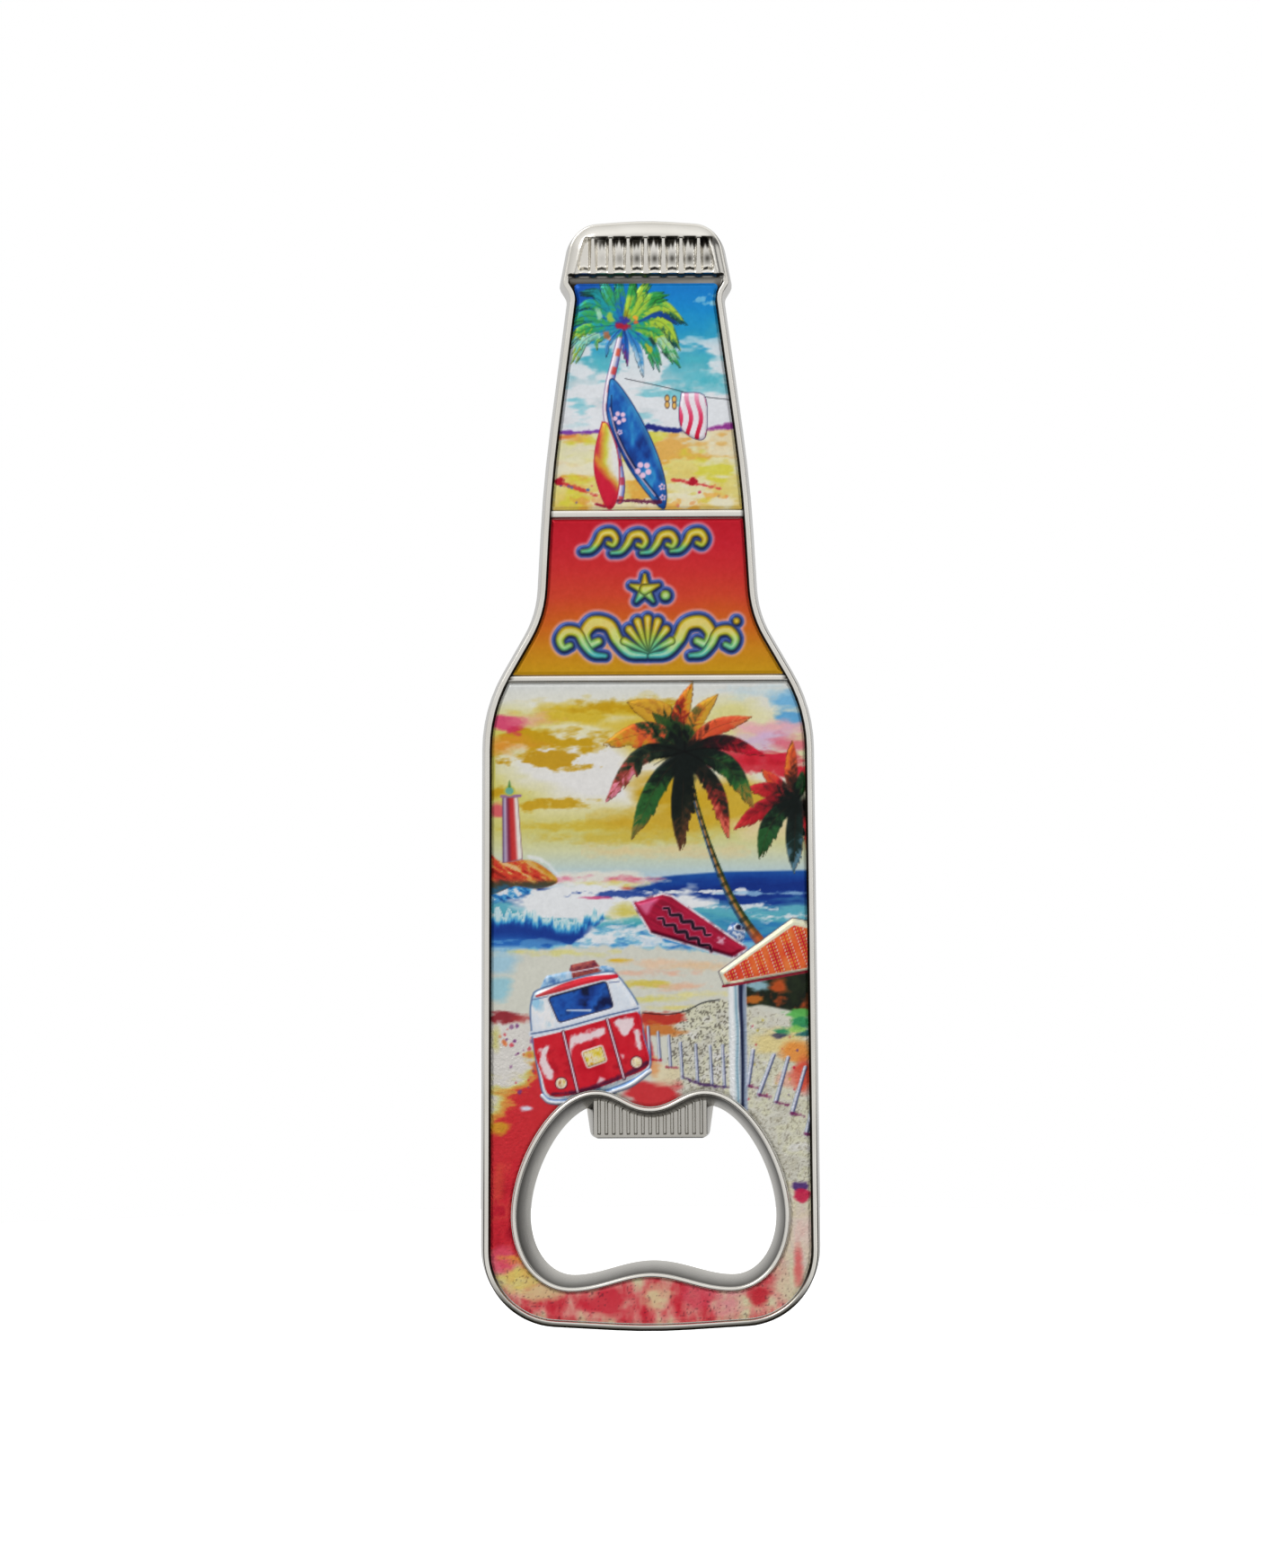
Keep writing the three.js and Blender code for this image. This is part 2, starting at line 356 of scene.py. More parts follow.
def paint_crease_shade(casting):
    """Marks how dark each point of the casting is, from 0 to 1: painted shade lines and painted shade in its
    creases, gaps, mouth and hollows, and a painted dark reflection along the lower rim's edge.
    """
    places = np.zeros(3 * len(casting.data.vertices))
    casting.data.vertices.foreach_get("co", places)
    x, y, z = (places.reshape(-1, 3) / MM).T
    height = -y
    to_edge = distance_to(even(bottle, 1.0), x, z)
    to_lip = distance_to(even(lip, 0.6), x, z)

    # painted shade in the gaps round the foils, then along the bars' flanks
    dark = 1.0 * ((to_edge > 0.55) & (height > 3.9) & (height < RIM - 0.03) & (z < 55.2))
    for middle in ((TITLE_TOP_Z + NECK_BOTTOM_Z) / 2, (SCENE_TOP_Z + TITLE_BOTTOM_Z) / 2):
        bar = (np.abs(z - middle) < 0.6) & (to_edge > 0.8)
        dark = np.where(bar, 0.6 * (height < BAR - 0.2), dark)
    # painted shade lines on both sides of the lip, then lighter painted shade on the mouth's wall and the
    # tooth
    dark = np.where((to_lip < 0.9) | (height < 3.9), 0, dark)
    dark = np.where((to_lip < 0.08) & (height > 3.8) & (height < RIM - 0.35), 1, dark)
    dark = np.where((to_lip > 0.46) & (to_lip < 0.68) & (height > 4.2) & (height < 4.7), 0.85, dark)
    wall = (to_lip < 3) & (to_edge > 1.2) & (height > 0.05) & (height < 4.22)
    dark = np.where(wall, 0.10, dark)
    tooth = (np.abs(x) < 7.4) & (z > -41) & (z < -36) & (height > 0.5) & (height < TOOTH + 0.35)
    dark = np.where(tooth & (to_edge > 1.2), 0.34, dark)

    # a painted dark reflection along the outer edge of the lower rim, then painted shade over the outer part
    # of the rim at the very bottom
    outer = (to_edge < 0.2) & (height > RIM - 0.24) & (height < RIM - 0.01)
    dark = np.maximum(dark, outer * smoothstep(-28, -50, z) * 0.95)
    base = smoothstep(-55, -59.5, z) * (to_edge < 0.9)
    shadow = smoothstep(0.62, 0.34, to_edge) * (height > RIM - 0.3)
    dark = dark + base * (shadow - dark)

    # painted shade in the cap's hollows, darker to the right, then painted shade under its skirt
    phase = np.abs(((x / HOLLOW_PITCH) % 1.0) - 0.5) * 2
    hollow = smoothstep(0.85, 0.5, phase) * smoothstep(8.0, 7.6, np.abs(x)) * (height > 4)
    jagged = 0.5 * np.sin(9 * x) * np.sin(4.1 * x + 1)
    shade_line = smoothstep(58.7, 59.5, z + jagged) * smoothstep(60.1, 59.95, z) * smoothstep(-6.5, -4.5, x)
    spot = np.exp(-((z - 57.6) / 0.6) ** 2 - (phase / 0.45) ** 2) * smoothstep(-7, 0, x)
    dark = np.maximum(dark, hollow * np.maximum(0.98 * shade_line, 0.92 * spot))
    skirt = (z > 55.4) & (z < 55.9) & (np.abs(x) < 8.7) & (height > 4) & (height < 5.7)
    dark = np.maximum(dark, skirt * (0.58 + 0.32 * smoothstep(55.5, 55.75, z)))
    mark = casting.data.attributes.new("dark", "FLOAT", "POINT")
    mark.data.foreach_set("value", dark.astype(float))


def make_casting():
    casting = make_plate()
    hole = even(grown(lip, -0.4), 0.25)
    cutter = swept("hole", hole, [(-0.72, -0.5), (-0.65, 0), (0, 4.6), (0, 6.0)])
    combine(casting, cutter, "DIFFERENCE")
    combine(casting, make_lip(), "UNION")
    combine(casting, make_bar(TITLE_TOP_Z, NECK_BOTTOM_Z), "UNION")
    combine(casting, make_bar(SCENE_TOP_Z, TITLE_BOTTOM_Z), "UNION")
    combine(casting, make_tooth(), "UNION")
    combine(casting, make_cap(), "UNION")
    for z in MAGNET_Z.values():
        pocket = swept("pocket", circle(POCKET_RADIUS, z), [(0.5, -0.3), (0.2, 0), (0, 0.2),
            (0, POCKET_DEPTH)])
        combine(casting, pocket, "DIFFERENCE")
    for x, z in EJECTOR_MARKS:
        mark = swept("mark", circle(1.6, z, 48) + (x, 0), [(0.1, -0.2), (0, 0), (-0.05, 0.12)])
        combine(casting, mark, "DIFFERENCE")
    shade(casting)
    # painted shade in the casting's creases, gaps, mouth and hollows, and a painted dark reflection on the
    # lower rim's edge
    paint_crease_shade(casting)
    return casting


# ---------------------------------------------------------------- painting

def lattice(i, j, seed):
    """A repeatable random number from 0 to 1 for each whole pair of numbers."""
    h = (i.astype(np.int64) * 374761393 + j.astype(np.int64) * 668265263 + seed * 974634777) & 0xFFFFFFFF
    h = ((h ^ (h >> 13)) * 1274126177) & 0xFFFFFFFF
    return ((h ^ (h >> 16)) & 0xFFFF) / 65535.0


def noise(x, z, size, seed):
    i, j = np.floor(x / size), np.floor(z / size)
    u, v = x / size - i, z / size - j
    u, v = u * u * (3 - 2 * u), v * v * (3 - 2 * v)
    low = lattice(i, j, seed) * (1 - u) + lattice(i + 1, j, seed) * u
    high = lattice(i, j + 1, seed) * (1 - u) + lattice(i + 1, j + 1, seed) * u
    return low * (1 - v) + high * v


def cloudy(x, z, size, seed, octaves=4):
    """Noise with detail down to a small part of its size, spread over 0 to 1."""
    total, weight = 0.0, 0.0
    for k in range(octaves):
        total = total + noise(x, z, size / 2 ** k, seed + 17 * k) * 0.55 ** k
        weight += 0.55 ** k
    return np.clip((total / weight - 0.5) * 1.7 + 0.5, 0, 1)


def smooth_line(points, steps=6):
    """A curve through a few points."""
    p = np.array(points, float)
    p = np.vstack([2 * p[0] - p[1], p, 2 * p[-1] - p[-2]])
    line = []
    for a, b, c, d in zip(p, p[1:], p[2:], p[3:]):
        for t in np.arange(steps) / steps:
            line.append(0.5 * (2 * b + (c - a) * t + (2 * a - 5 * b + 4 * c - d) * t ** 2
                               + (3 * b - a - 3 * c + d) * t ** 3))
    return np.array(line + [p[-2]])


class Shape:
    """Part of a panel: the points near it, and each one's distance from its edge, negative inside."""

    def __init__(self, panel, window, depth, along=None, across=None):
        self.panel, self.window, self.depth = panel, window, depth
        self.x, self.z = panel.x[window], panel.z[window]
        self.along, self.across = along, across

    def changed(self, depth):
        return Shape(self.panel, self.window, depth, self.along, self.across)

    def ragged(self, amount, size, seed):
        return self.changed(self.depth + 2 * amount * (cloudy(self.x, self.z, size, seed, 3) - 0.5))

    def wider(self, amount):
        return self.changed(self.depth - amount)

    def line(self, width):
        return self.changed(np.abs(self.depth) - width / 2)

    def tones(self, colours, size, seed, stretch=(1, 1)):
        """Colours mixed as in a wash."""
        return graded(cloudy(self.x / stretch[0], self.z / stretch[1], size, seed), colours)

    def paint(self, colour, soft=0.12, strength=1.0):
        cover = (np.clip(0.5 - self.depth / soft, 0, 1) * strength)[..., None]
        canvas = self.panel.colour[self.window]
        self.panel.colour[self.window] = canvas * (1 - cover) + np.asarray(colour, float) * cover
        return self

    def raised(self, height, bevel=0.3):
        """Embosses the shape, with a rounded edge."""
        rise = height * smoothstep(0, bevel, -self.depth)
        self.panel.relief[self.window] = np.maximum(self.panel.relief[self.window], rise)
        return self

    def sunk(self, height, bevel=0.1):
        self.panel.relief[self.window] -= height * smoothstep(0, bevel, -self.depth)
        return self


def graded(t, colours):
    """Colour along a list of colours, for t from 0 to 1."""
    stops = np.linspace(0, 1, len(colours))
    return np.stack([np.interp(t, stops, [c[k] for c in colours]) for k in range(3)], axis=-1)


class Panel:
    """A grid of points over one foil, with the picture's colour, the relief and the frosting at each."""

    def __init__(self, low_x, high_x, low_z, high_z, spacing):
        self.spacing = spacing
        self.columns = np.arange(low_x, high_x + spacing, spacing)
        self.rows = np.arange(low_z, high_z + spacing, spacing)
        self.x, self.z = np.meshgrid(self.columns, self.rows)
        self.colour = np.full(self.x.shape + (3,), 220.0)
        self.relief = np.zeros(self.x.shape)
        self.glitter = np.zeros(self.x.shape)

    def window(self, points, margin=1.2):
        (x0, z0), (x1, z1) = np.min(points, axis=0) - margin, np.max(points, axis=0) + margin
        rows = slice(*np.searchsorted(self.rows, (z0, z1)))
        columns = slice(*np.searchsorted(self.columns, (x0, x1)))
        return rows, columns

    def all(self):
        window = (slice(None), slice(None))
        return Shape(self, window, np.full(self.x.shape, -9.0))

    def polygon(self, points, corner=0.0, margin=1.2):
        points = np.array(points, float)
        window = self.window(points, margin)
        x, z = self.x[window], self.z[window]
        inside = np.zeros(x.shape, bool)
        for a, b in zip(points, np.roll(points, -1, axis=0)):
            if a[1] != b[1]:
                crosses = (a[1] > z) != (b[1] > z)
                inside ^= crosses & (x < a[0] + (b[0] - a[0]) * (z - a[1]) / (b[1] - a[1]))
        depth = distance_to(points, x, z)
        return Shape(self, window, np.where(inside, -depth, depth) - corner)

    def blob(self, points, steps=5, margin=1.2):
        """A closed smooth outline through a few points."""
        loop = smooth_line(list(points) + [points[0]], steps)[:-1]
        return self.polygon(loop, margin=margin)

    def stroke(self, points, widths, margin=1.2, smooth=True):
        """A line of changing width. along runs from 0 to 1 and across from -1 (left of the line) to 1."""
        line = smooth_line(points) if smooth and len(points) > 2 else np.array(points, float)
        window = self.window(line, margin + np.max(widths))
        x, z = self.x[window], self.z[window]
        run = np.concatenate([[0], np.cumsum(np.hypot(*np.diff(line, axis=0).T))])
        run /= run[-1]
        half = np.interp(run, np.linspace(0, 1, np.size(widths)), np.atleast_1d(widths)) / 2
        depth = np.full(x.shape, 1e9)
        along, across = np.zeros(x.shape), np.zeros(x.shape)
        for k in range(len(line) - 1):
            a, edge = line[k], line[k + 1] - line[k]
            length = np.hypot(*edge)
            t = np.clip(((x - a[0]) * edge[0] + (z - a[1]) * edge[1]) / length ** 2, 0, 1)
            away = np.hypot(x - a[0] - t * edge[0], z - a[1] - t * edge[1])
            width = half[k] * (1 - t) + half[k + 1] * t
            nearer = away - width < depth
            side = ((x - a[0]) * edge[1] - (z - a[1]) * edge[0]) / length
            depth = np.where(nearer, away - width, depth)
            along = np.where(nearer, run[k] * (1 - t) + run[k + 1] * t, along)
            across = np.where(nearer, side / np.maximum(width, 0.05), across)
        return Shape(self, window, depth, along, across)

    def ellipse(self, x, z, rx, rz, turn=0.0, margin=1.2):
        window = self.window([(x - max(rx, rz), z - max(rx, rz)), (x + max(rx, rz), z + max(rx, rz))], margin)
        dx, dz = self.x[window] - x, self.z[window] - z
        c, s = math.cos(math.radians(turn)), math.sin(math.radians(turn))
        u, v = (dx * c + dz * s) / rx, (dz * c - dx * s) / rz
        return Shape(self, window, (np.hypot(u, v) - 1) * min(rx, rz))

    def spots(self, count, box, size, colours, seed, flat=1.0, strength=1.0):
        """Scattered dabs of paint."""
        rng = np.random.default_rng(seed)
        for _ in range(count):
            x, z = rng.uniform(box[0], box[1]), rng.uniform(box[2], box[3])
            r = rng.uniform(size[0], size[1])
            dab = self.ellipse(x, z, r, r * flat, rng.uniform(-25, 25), 0.5)
            dab.ragged(0.3 * r, r, int(rng.integers(1e6))).paint(colours[rng.integers(len(colours))], 0.15,
                strength * rng.uniform(0.6, 1))

    def settle(self):
        """Softens the relief a little, as a pressed foil is, and grains the ink."""
        for _ in range(2):
            r = np.pad(self.relief, 1, mode="edge")
            self.relief = (r[1:-1, 1:-1] * 2 + r[2:, 1:-1] + r[:-2, 1:-1] + r[1:-1, 2:] + r[1:-1, :-2]) / 6
        grain = noise(self.x, self.z, 0.22, 5) + noise(self.x, self.z, 0.5, 6) - 1
        self.colour = np.clip(self.colour + 4 * grain[..., None], 0, 255)


# ---------------------------------------------------------------- the neck picture

INK = (22, 26, 34)


def frond(panel, root, bend, tip, width, near, far, seed, ink=INK, fray=0.1, split=0):
    """A palm leaf: smooth above and frayed below, with streaks, a rib and ink round its tip."""
    run, drop = tip[0] - root[0], tip[1] - root[1]
    length = math.dist(root, bend) + math.dist(bend, tip)
    strands = [(0, 1)] if not split else [(-split, 0.78), (split, 0.84), (0, 1)]
    for k, (aside, reach) in enumerate(strands):
        end = (bend[0] + reach * (tip[0] - bend[0]) - aside * drop / length,
               bend[1] + reach * (tip[1] - bend[1]) + aside * run / length)
        middle = (bend[0] - 0.45 * aside * drop / length, bend[1] + 0.45 * aside * run / length)
        leaf = panel.stroke([root, middle, end], width * np.array([0.35, 0.85, 1.15, 1.25, 1.1, 0.7, 0.08]))
        lower = smoothstep(-0.3, 0.7, leaf.across * math.copysign(1, run))
        barb = noise(leaf.along * length - np.abs(leaf.across) * width * 0.5,
            np.sign(leaf.across) * 3 + 0 * leaf.x, 0.3, seed + k)
        leaf.depth = leaf.depth + 2 * fray * (barb - 0.5) * lower * smoothstep(0.1, 0.5, leaf.along)
        t = leaf.along * 1.2 - 0.2 + 0.2 * lower + 0.3 * (barb - 0.5)
        t = t + 0.45 * (cloudy(leaf.x, leaf.z, 0.9, seed + 1) - 0.5)
        leaf.paint(graded(np.clip(t, 0, 1), near + far), 0.2)
        leaf.line(0.09).paint(ink, 0.10, (0.15 + 0.5 * lower) * smoothstep(0.3, 0.9, leaf.along))
        panel.stroke([root, middle, end], [0.12, 0.08, 0.03]).paint(ink, 0.12, 0.35)
        leaf.raised(0.12, 0.3)


def flower(panel, x, z, size, colour):
    for k in range(5):
        a = 2 * math.pi * k / 5 + x
        panel.ellipse(x + size * math.cos(a), z + size * math.sin(a), size * 0.52,
            size * 0.52).paint(colour, 0.15)


def paint_neck():
    panel = Panel(-11.3, 11.3, 29.5, 55.1, 0.105)
    sky = panel.all()
    t = np.clip((54.6 - panel.z) / 15.5 + 0.22 * (cloudy(panel.x, panel.z, 5, 3) - 0.5), 0, 1)
    sky.paint(graded(t, [(22, 128, 206), (24, 140, 206), (36, 152, 200), (84, 178, 196), (192, 212, 218),
        (216, 218, 222), (212, 212, 220)]))
    corner = smoothstep(7, 0, np.hypot(panel.x + 7.5, (panel.z - 53.5) * 1.2))
    sky.paint((22, 66, 172), strength=0.75 * corner)
    clouds = cloudy(panel.x / 2.2, panel.z, 2.2, 11)
    bank = smoothstep(0.42, 0.62, clouds - 0.05 * (panel.z - 45.5)) * smoothstep(51, 47.5, panel.z)
    sky.paint((226, 229, 233), strength=0.92 * bank)
    wisps = smoothstep(0.62, 0.85, cloudy(panel.x / 3, panel.z, 1.6, 23)) * smoothstep(38, 41, panel.z)
    sky.paint((86, 186, 202), strength=0.65 * wisps * smoothstep(50, 44, panel.z))
    panel.spots(5, (4, 8.5, 52.4, 54), (0.4, 1), [(160, 214, 232)], 4, 0.35, 0.6)
    for x, z, rx, rz in ((3.8, 42.9, 1, 0.5), (8.3, 44, 2.2, 0.35), (-4.6, 45.6, 1.6, 0.6),
                         (6, 46.5, 1.5, 0.3)):
        panel.ellipse(x, z, rx, rz).ragged(0.3, 0.8, int(x * 9 + 90)).paint((74, 180, 196), 0.6, 0.7)

    sand = panel.polygon([(-12, 38.2), (12, 38.6), (12, 29), (-12, 29)])
    low = np.clip((38.4 - sand.z) / 9, 0, 1)
    sand.paint(graded(np.clip(low + 0.5 * (cloudy(sand.x / 2, sand.z, 1.8, 31) - 0.5), 0, 1),
        [(222, 216, 190), (226, 222, 176), (224, 212, 130), (222, 200, 110), (220, 186, 90)]), 0.2)
    for seed, tint in ((42, (224, 160, 60)), (41, (212, 206, 60)), (43, (232, 228, 206)),
                       (44, (230, 226, 200))):
        wash = smoothstep(0.56, 0.80, cloudy(sand.x / 2.2, sand.z, 1.9, seed))
        sand.paint(tint, 0.2, 0.75 * wash)
    panel.stroke([(-11.5, 38.25), (-7, 38.35), (-4.2, 38.5)], [0.5, 0.35, 0.5]).ragged(0.12, 0.5, 5).paint(
        (124, 66, 166), 0.25)
    panel.stroke([(-11.5, 37.7), (-9.3, 37.8), (-8, 37.95)], [0.4, 0.5, 0.1]).paint((226, 104, 52), 0.4, 0.8)
    panel.stroke([(0.2, 38.9), (3, 38.5), (5, 38.55)],
        [0.7, 0.5, 0.4]).ragged(0.12, 0.5, 6).paint((36, 44, 128), 0.25)
    panel.stroke([(6.4, 38.6), (9, 38.85), (11.5, 38.8)], [0.3, 0.65, 0.7]).ragged(0.15, 0.6, 7).paint(
        (146, 56, 142), 0.3)
    for x0, z0, x1, z1, blot in ((-10.6, 33, -5.6, 31.2, -9.8), (2.7, 33, 8.3, 31.9, 5)):
        panel.stroke([(x0, z0), ((x0 + x1) / 2, (z0 + z1) / 2 + 0.1), (x1, z1)], [0.15, 0.42, 0.12]).ragged(
            0.16, 0.5, 8).paint((206, 54, 62), 0.25, 0.9)
        panel.ellipse(blot, z0 - 0.15, 0.5, 0.36).ragged(0.2, 0.4, 9).paint((176, 22, 44), 0.25)
    panel.spots(16, (-10, 10, 29.8, 32.5), (0.08, 0.2), [(206, 64, 96), (70, 90, 170), (228, 120, 60)], 12)
    panel.spots(7, (-9, 10, 30, 31.4), (0.4, 1.1), [(232, 168, 70), (226, 138, 70), (214, 196, 60)], 13, 0.4,
        0.7)

    # the palm's trunk, with a band of colour at each joint
    trunk = panel.stroke([(-2.7, 49.8), (-3.4, 46.6), (-4.1, 43.6), (-4.35, 40.4), (-3.5, 36.4), (-2.9, 32.8),
        (-3.1, 30.8)], [0.55, 0.8, 0.9, 0.95, 0.9, 0.8, 0.9])
    trunk.paint(graded(np.clip(trunk.across * 0.5 + 0.5, 0, 1), [(66, 92, 176), (222, 212, 226),
        (238, 232, 236)]), 0.12)
    rings = np.clip(np.sin(trunk.along * 58) * 2, 0, 1) * smoothstep(0.75, -0.2, trunk.across)
    trunk.paint(graded(trunk.along, [(232, 104, 52), (206, 48, 58), (150, 40, 110), (208, 60, 60)]), 0.12,
        0.85 * rings)
    trunk.raised(0.10, 0.2)
    trunk.line(0.10).paint((92, 50, 110), 0.1, 0.7)

    heart = (-2.4, 50.3)
    teal, leaf, lime, sea = (34, 156, 166), (58, 164, 84), (172, 206, 66), (28, 106, 196)
    sky_blue, mint, shade = (70, 150, 206), (170, 216, 186), (24, 92, 84)
    navy = (22, 66, 150)
    core = panel.ellipse(-2.5, 51, 2.3, 1.7).ragged(0.5, 1, 90)
    core.paint(core.tones([sea, teal, (44, 140, 150), leaf, sea], 1.2, 91), 0.5, 0.95)
    leaves = [
        ((-2.3, 47.9), (-2.1, 45.7), 0.6, [navy, sea], [(120, 50, 130)], 52, 0),
        ((-1.1, 47.7), (-0.3, 44.5), 0.8, [sea, sky_blue], [(206, 222, 230)], 53, 0),
        ((0.3, 48), (1.5, 45), 0.8, [sea, teal, leaf], [(110, 180, 160)], 54, 0.5),
        ((-4.1, 48.4), (-4.5, 46.8), 0.5, [sea, sky_blue], [sky_blue], 51, 0),
        ((-5.3, 48.7), (-5.5, 47.5), 0.6, [navy, teal], [lime], 65, 0),
        ((-6.6, 48.8), (-8.4, 46), 0.7, [teal, sky_blue, mint], [(120, 200, 190), lime], 57, 0.5),
        ((1.2, 49.2), (3.8, 45.5), 0.85, [teal, leaf, lime], [mint, leaf], 55, 0.5),
        ((-6.8, 49.8), (-8.9, 47.8), 0.75, [sea, teal, leaf], [lime, (120, 200, 190)], 58, 0.5),
        ((1.6, 50.6), (3.8, 47.4), 0.95, [teal, leaf, lime], [lime, shade], 56, 0.5),
        ((-6.4, 51.3), (-9, 50.3), 0.9, [sea, teal, leaf], [teal, leaf], 59, 0.5),
        ((-5.9, 52.6), (-8.2, 51.9), 0.8, [sea, teal, teal], [leaf, teal], 66, 0.4),
        ((-5.2, 53.6), (-7.4, 54), 0.9, [navy, teal], [teal, shade], 68, 0.4),
        ((-4.2, 53.7), (-5, 55.6), 0.9, [sea, teal], [leaf, (70, 190, 190)], 60, 0.4),
        ((-2.9, 53.4), (-3.1, 55.6), 0.8, [teal, sea], [leaf, teal], 61, 0.4),
        ((1.2, 51.6), (3.6, 50.3), 0.8, [navy, (20, 80, 160)], [navy], 69, 0),
        ((1.5, 52.4), (4.6, 50.2), 0.85, [teal, leaf, lime], [lime, shade], 62, 0.4),
        ((0.3, 53), (2.6, 53.6), 0.9, [leaf, lime], [leaf, (44, 148, 60)], 63, 0.5),
        ((-0.9, 53.2), (0.6, 55.4), 0.75, [leaf, lime, lime], [leaf], 67, 0.4),
        ((-1.7, 53), (-1.3, 55.6), 0.7, [(150, 150, 40), lime], [leaf, (44, 148, 60)], 64, 0.3),
    ]
    for bend, tip, width, near, far, seed, split in leaves:
        frond(panel, heart, bend, tip, width, near, far, seed, split=split)
    for x, z, size, tint in ((-4, 51.1, 0.35, lime), (-5.2, 51.4, 0.3, mint), (0.6, 48.5, 0.3, (24, 50, 50)),
                             (2.1, 46.9, 0.22, (24, 50, 50)), (0.3, 47.7, 0.3, (190, 190, 50)),
                             (-4.3, 49.1, 0.3, (190, 110, 70))):
        panel.ellipse(x, z, size, 1.8 * size, 25).ragged(0.15, 0.4, int(90 * size)).paint(tint, 0.25, 0.85)
    panel.ellipse(-2.6, 50.15, 0.95, 0.38, -8).ragged(0.1, 0.4, 3).paint((176, 34, 62), 0.2)
    panel.ellipse(-2.5, 50.75, 0.7, 0.35).ragged(0.15, 0.4, 4).paint((60, 60, 160), 0.3)
    panel.spots(5, (-1.7, -0.9, 50.2, 51.2), (0.15, 0.3), [(236, 170, 60), (226, 110, 50)], 15)

    # washing line, sandals and towel
    panel.stroke([(-2.4, 44.3), (2.5, 43.2), (6, 42.3), (9.2, 41.9)], [0.09]).paint(INK, 0.09, 0.8)
    for x, z in ((2.3, 42.3), (3.1, 42.2)):
        for drop in (0.25, 0.95):
            pair = panel.ellipse(x, z - drop, 0.24, 0.38)
            pair.paint((228, 180, 96), 0.1).line(0.1).paint((84, 60, 60), 0.08, 0.8)
    towel = panel.polygon(smooth_line([(3.9, 42.7), (6.4, 42.4), (6.75, 39.7), (6.5, 37.7), (5.5, 37.5),
        (4, 38.5), (3.6, 40.3), (3.9, 42.7)], 4)[:-1])
    stripe = np.sin((towel.x - 3.3 - 0.25 * np.sin(towel.z * 1.3)) * 5.6)
    towel.paint((232, 226, 232), 0.1)
    towel.paint(graded(np.clip((42.5 - towel.z) / 4.5, 0, 1), [(236, 170, 196), (222, 70, 110),
        (206, 26, 62)]), 0.1, smoothstep(-0.1, 0.5, stripe))
    towel.raised(0.16, 0.3).line(0.10).paint((66, 50, 96), 0.09, 0.8)

    # the small board
    board = panel.blob([(-4.95, 39.5), (-5.75, 36.3), (-5.75, 33.4), (-4.5, 29.95), (-3.5, 30.5),
        (-3.05, 33.2), (-3.3, 36.3), (-4.3, 39.1)])
    side = (board.x + 5.9 - 0.06 * (board.z - 30)) / 2.9
    wave = 0.12 * (cloudy(board.x, board.z, 0.9, 71) - 0.5)
    board.paint(graded(np.clip(side + wave, 0, 1), [(196, 50, 66), (210, 150, 60), (206, 200, 70),
        (226, 222, 190), (230, 228, 224), (230, 228, 226), (222, 220, 222)]), 0.12)
    board.paint((214, 160, 50), 0.12, 0.9 * smoothstep(34.9, 33.6,
        board.z + 1.2 * (board.x + 4.4) + 3 * wave))
    board.paint((206, 30, 58), 0.12, smoothstep(34, 32.6, board.z + 1.2 * (board.x + 4.4) + 3 * wave))
    board.raised(0.2, 0.5).line(0.13).paint((176, 30, 60), 0.1, 0.85)

    # the big board, with flowers
    big = panel.blob([(-4.25, 42.9), (-4.4, 40.3), (-3.4, 37.3), (-1.6, 33.7), (1.4, 29.95), (2.15, 30.6),
        (1.9, 33.5), (0.6, 37.3), (-1.4, 41.2), (-3.2, 43.8), (-4, 44.2)])
    big.paint(big.tones([(22, 48, 120), (26, 76, 160), (34, 104, 184), (52, 146, 204), (40, 116, 190)], 1.6,
        81, (1, 1.6)), 0.12)
    light = smoothstep(-0.9, -0.1, big.depth) * smoothstep(-2.2, 0.8, big.x + 0.55 * (big.z - 37))
    big.paint((78, 168, 214), 0.12, 0.6 * light)
    panel.stroke([(-3.9, 42.4), (-3.85, 40.2), (-2.9, 37.2), (-1, 33.9), (1.4, 30.8)],
        [0.14, 0.3, 0.34, 0.25]).paint((18, 28, 66), 0.15, 0.8)
    panel.stroke([(-4.1, 41), (-3.3, 37.9), (-1.5, 34.4), (0.9, 31.2)],
        [0.14]).paint((226, 196, 216), 0.12, 0.85)
    for x, z, size in ((-3, 39.9, 0.5), (-0.4, 34.1, 0.62), (1.7, 32.2, 0.26), (1.75, 31, 0.24),
                       (-3, 38.3, 0.2)):
        flower(panel, x, z, size, (236, 196, 222))
    big.raised(0.24, 0.55).line(0.13).paint((20, 40, 96), 0.1, 0.85)

    panel.stroke([(-5.6, 30.3), (-4.7, 30.05)], [0.3], smooth=False).paint((156, 24, 54), 0.15)
    panel.stroke([(-3.2, 30.7), (-1.4, 30.65), (1.4, 30.5)], [0.3, 0.35, 0.5]).ragged(0.1, 0.3, 4).paint(
        (92, 24, 60), 0.15, 0.85)
    panel.settle()
    return panel


# ---------------------------------------------------------------- the title band

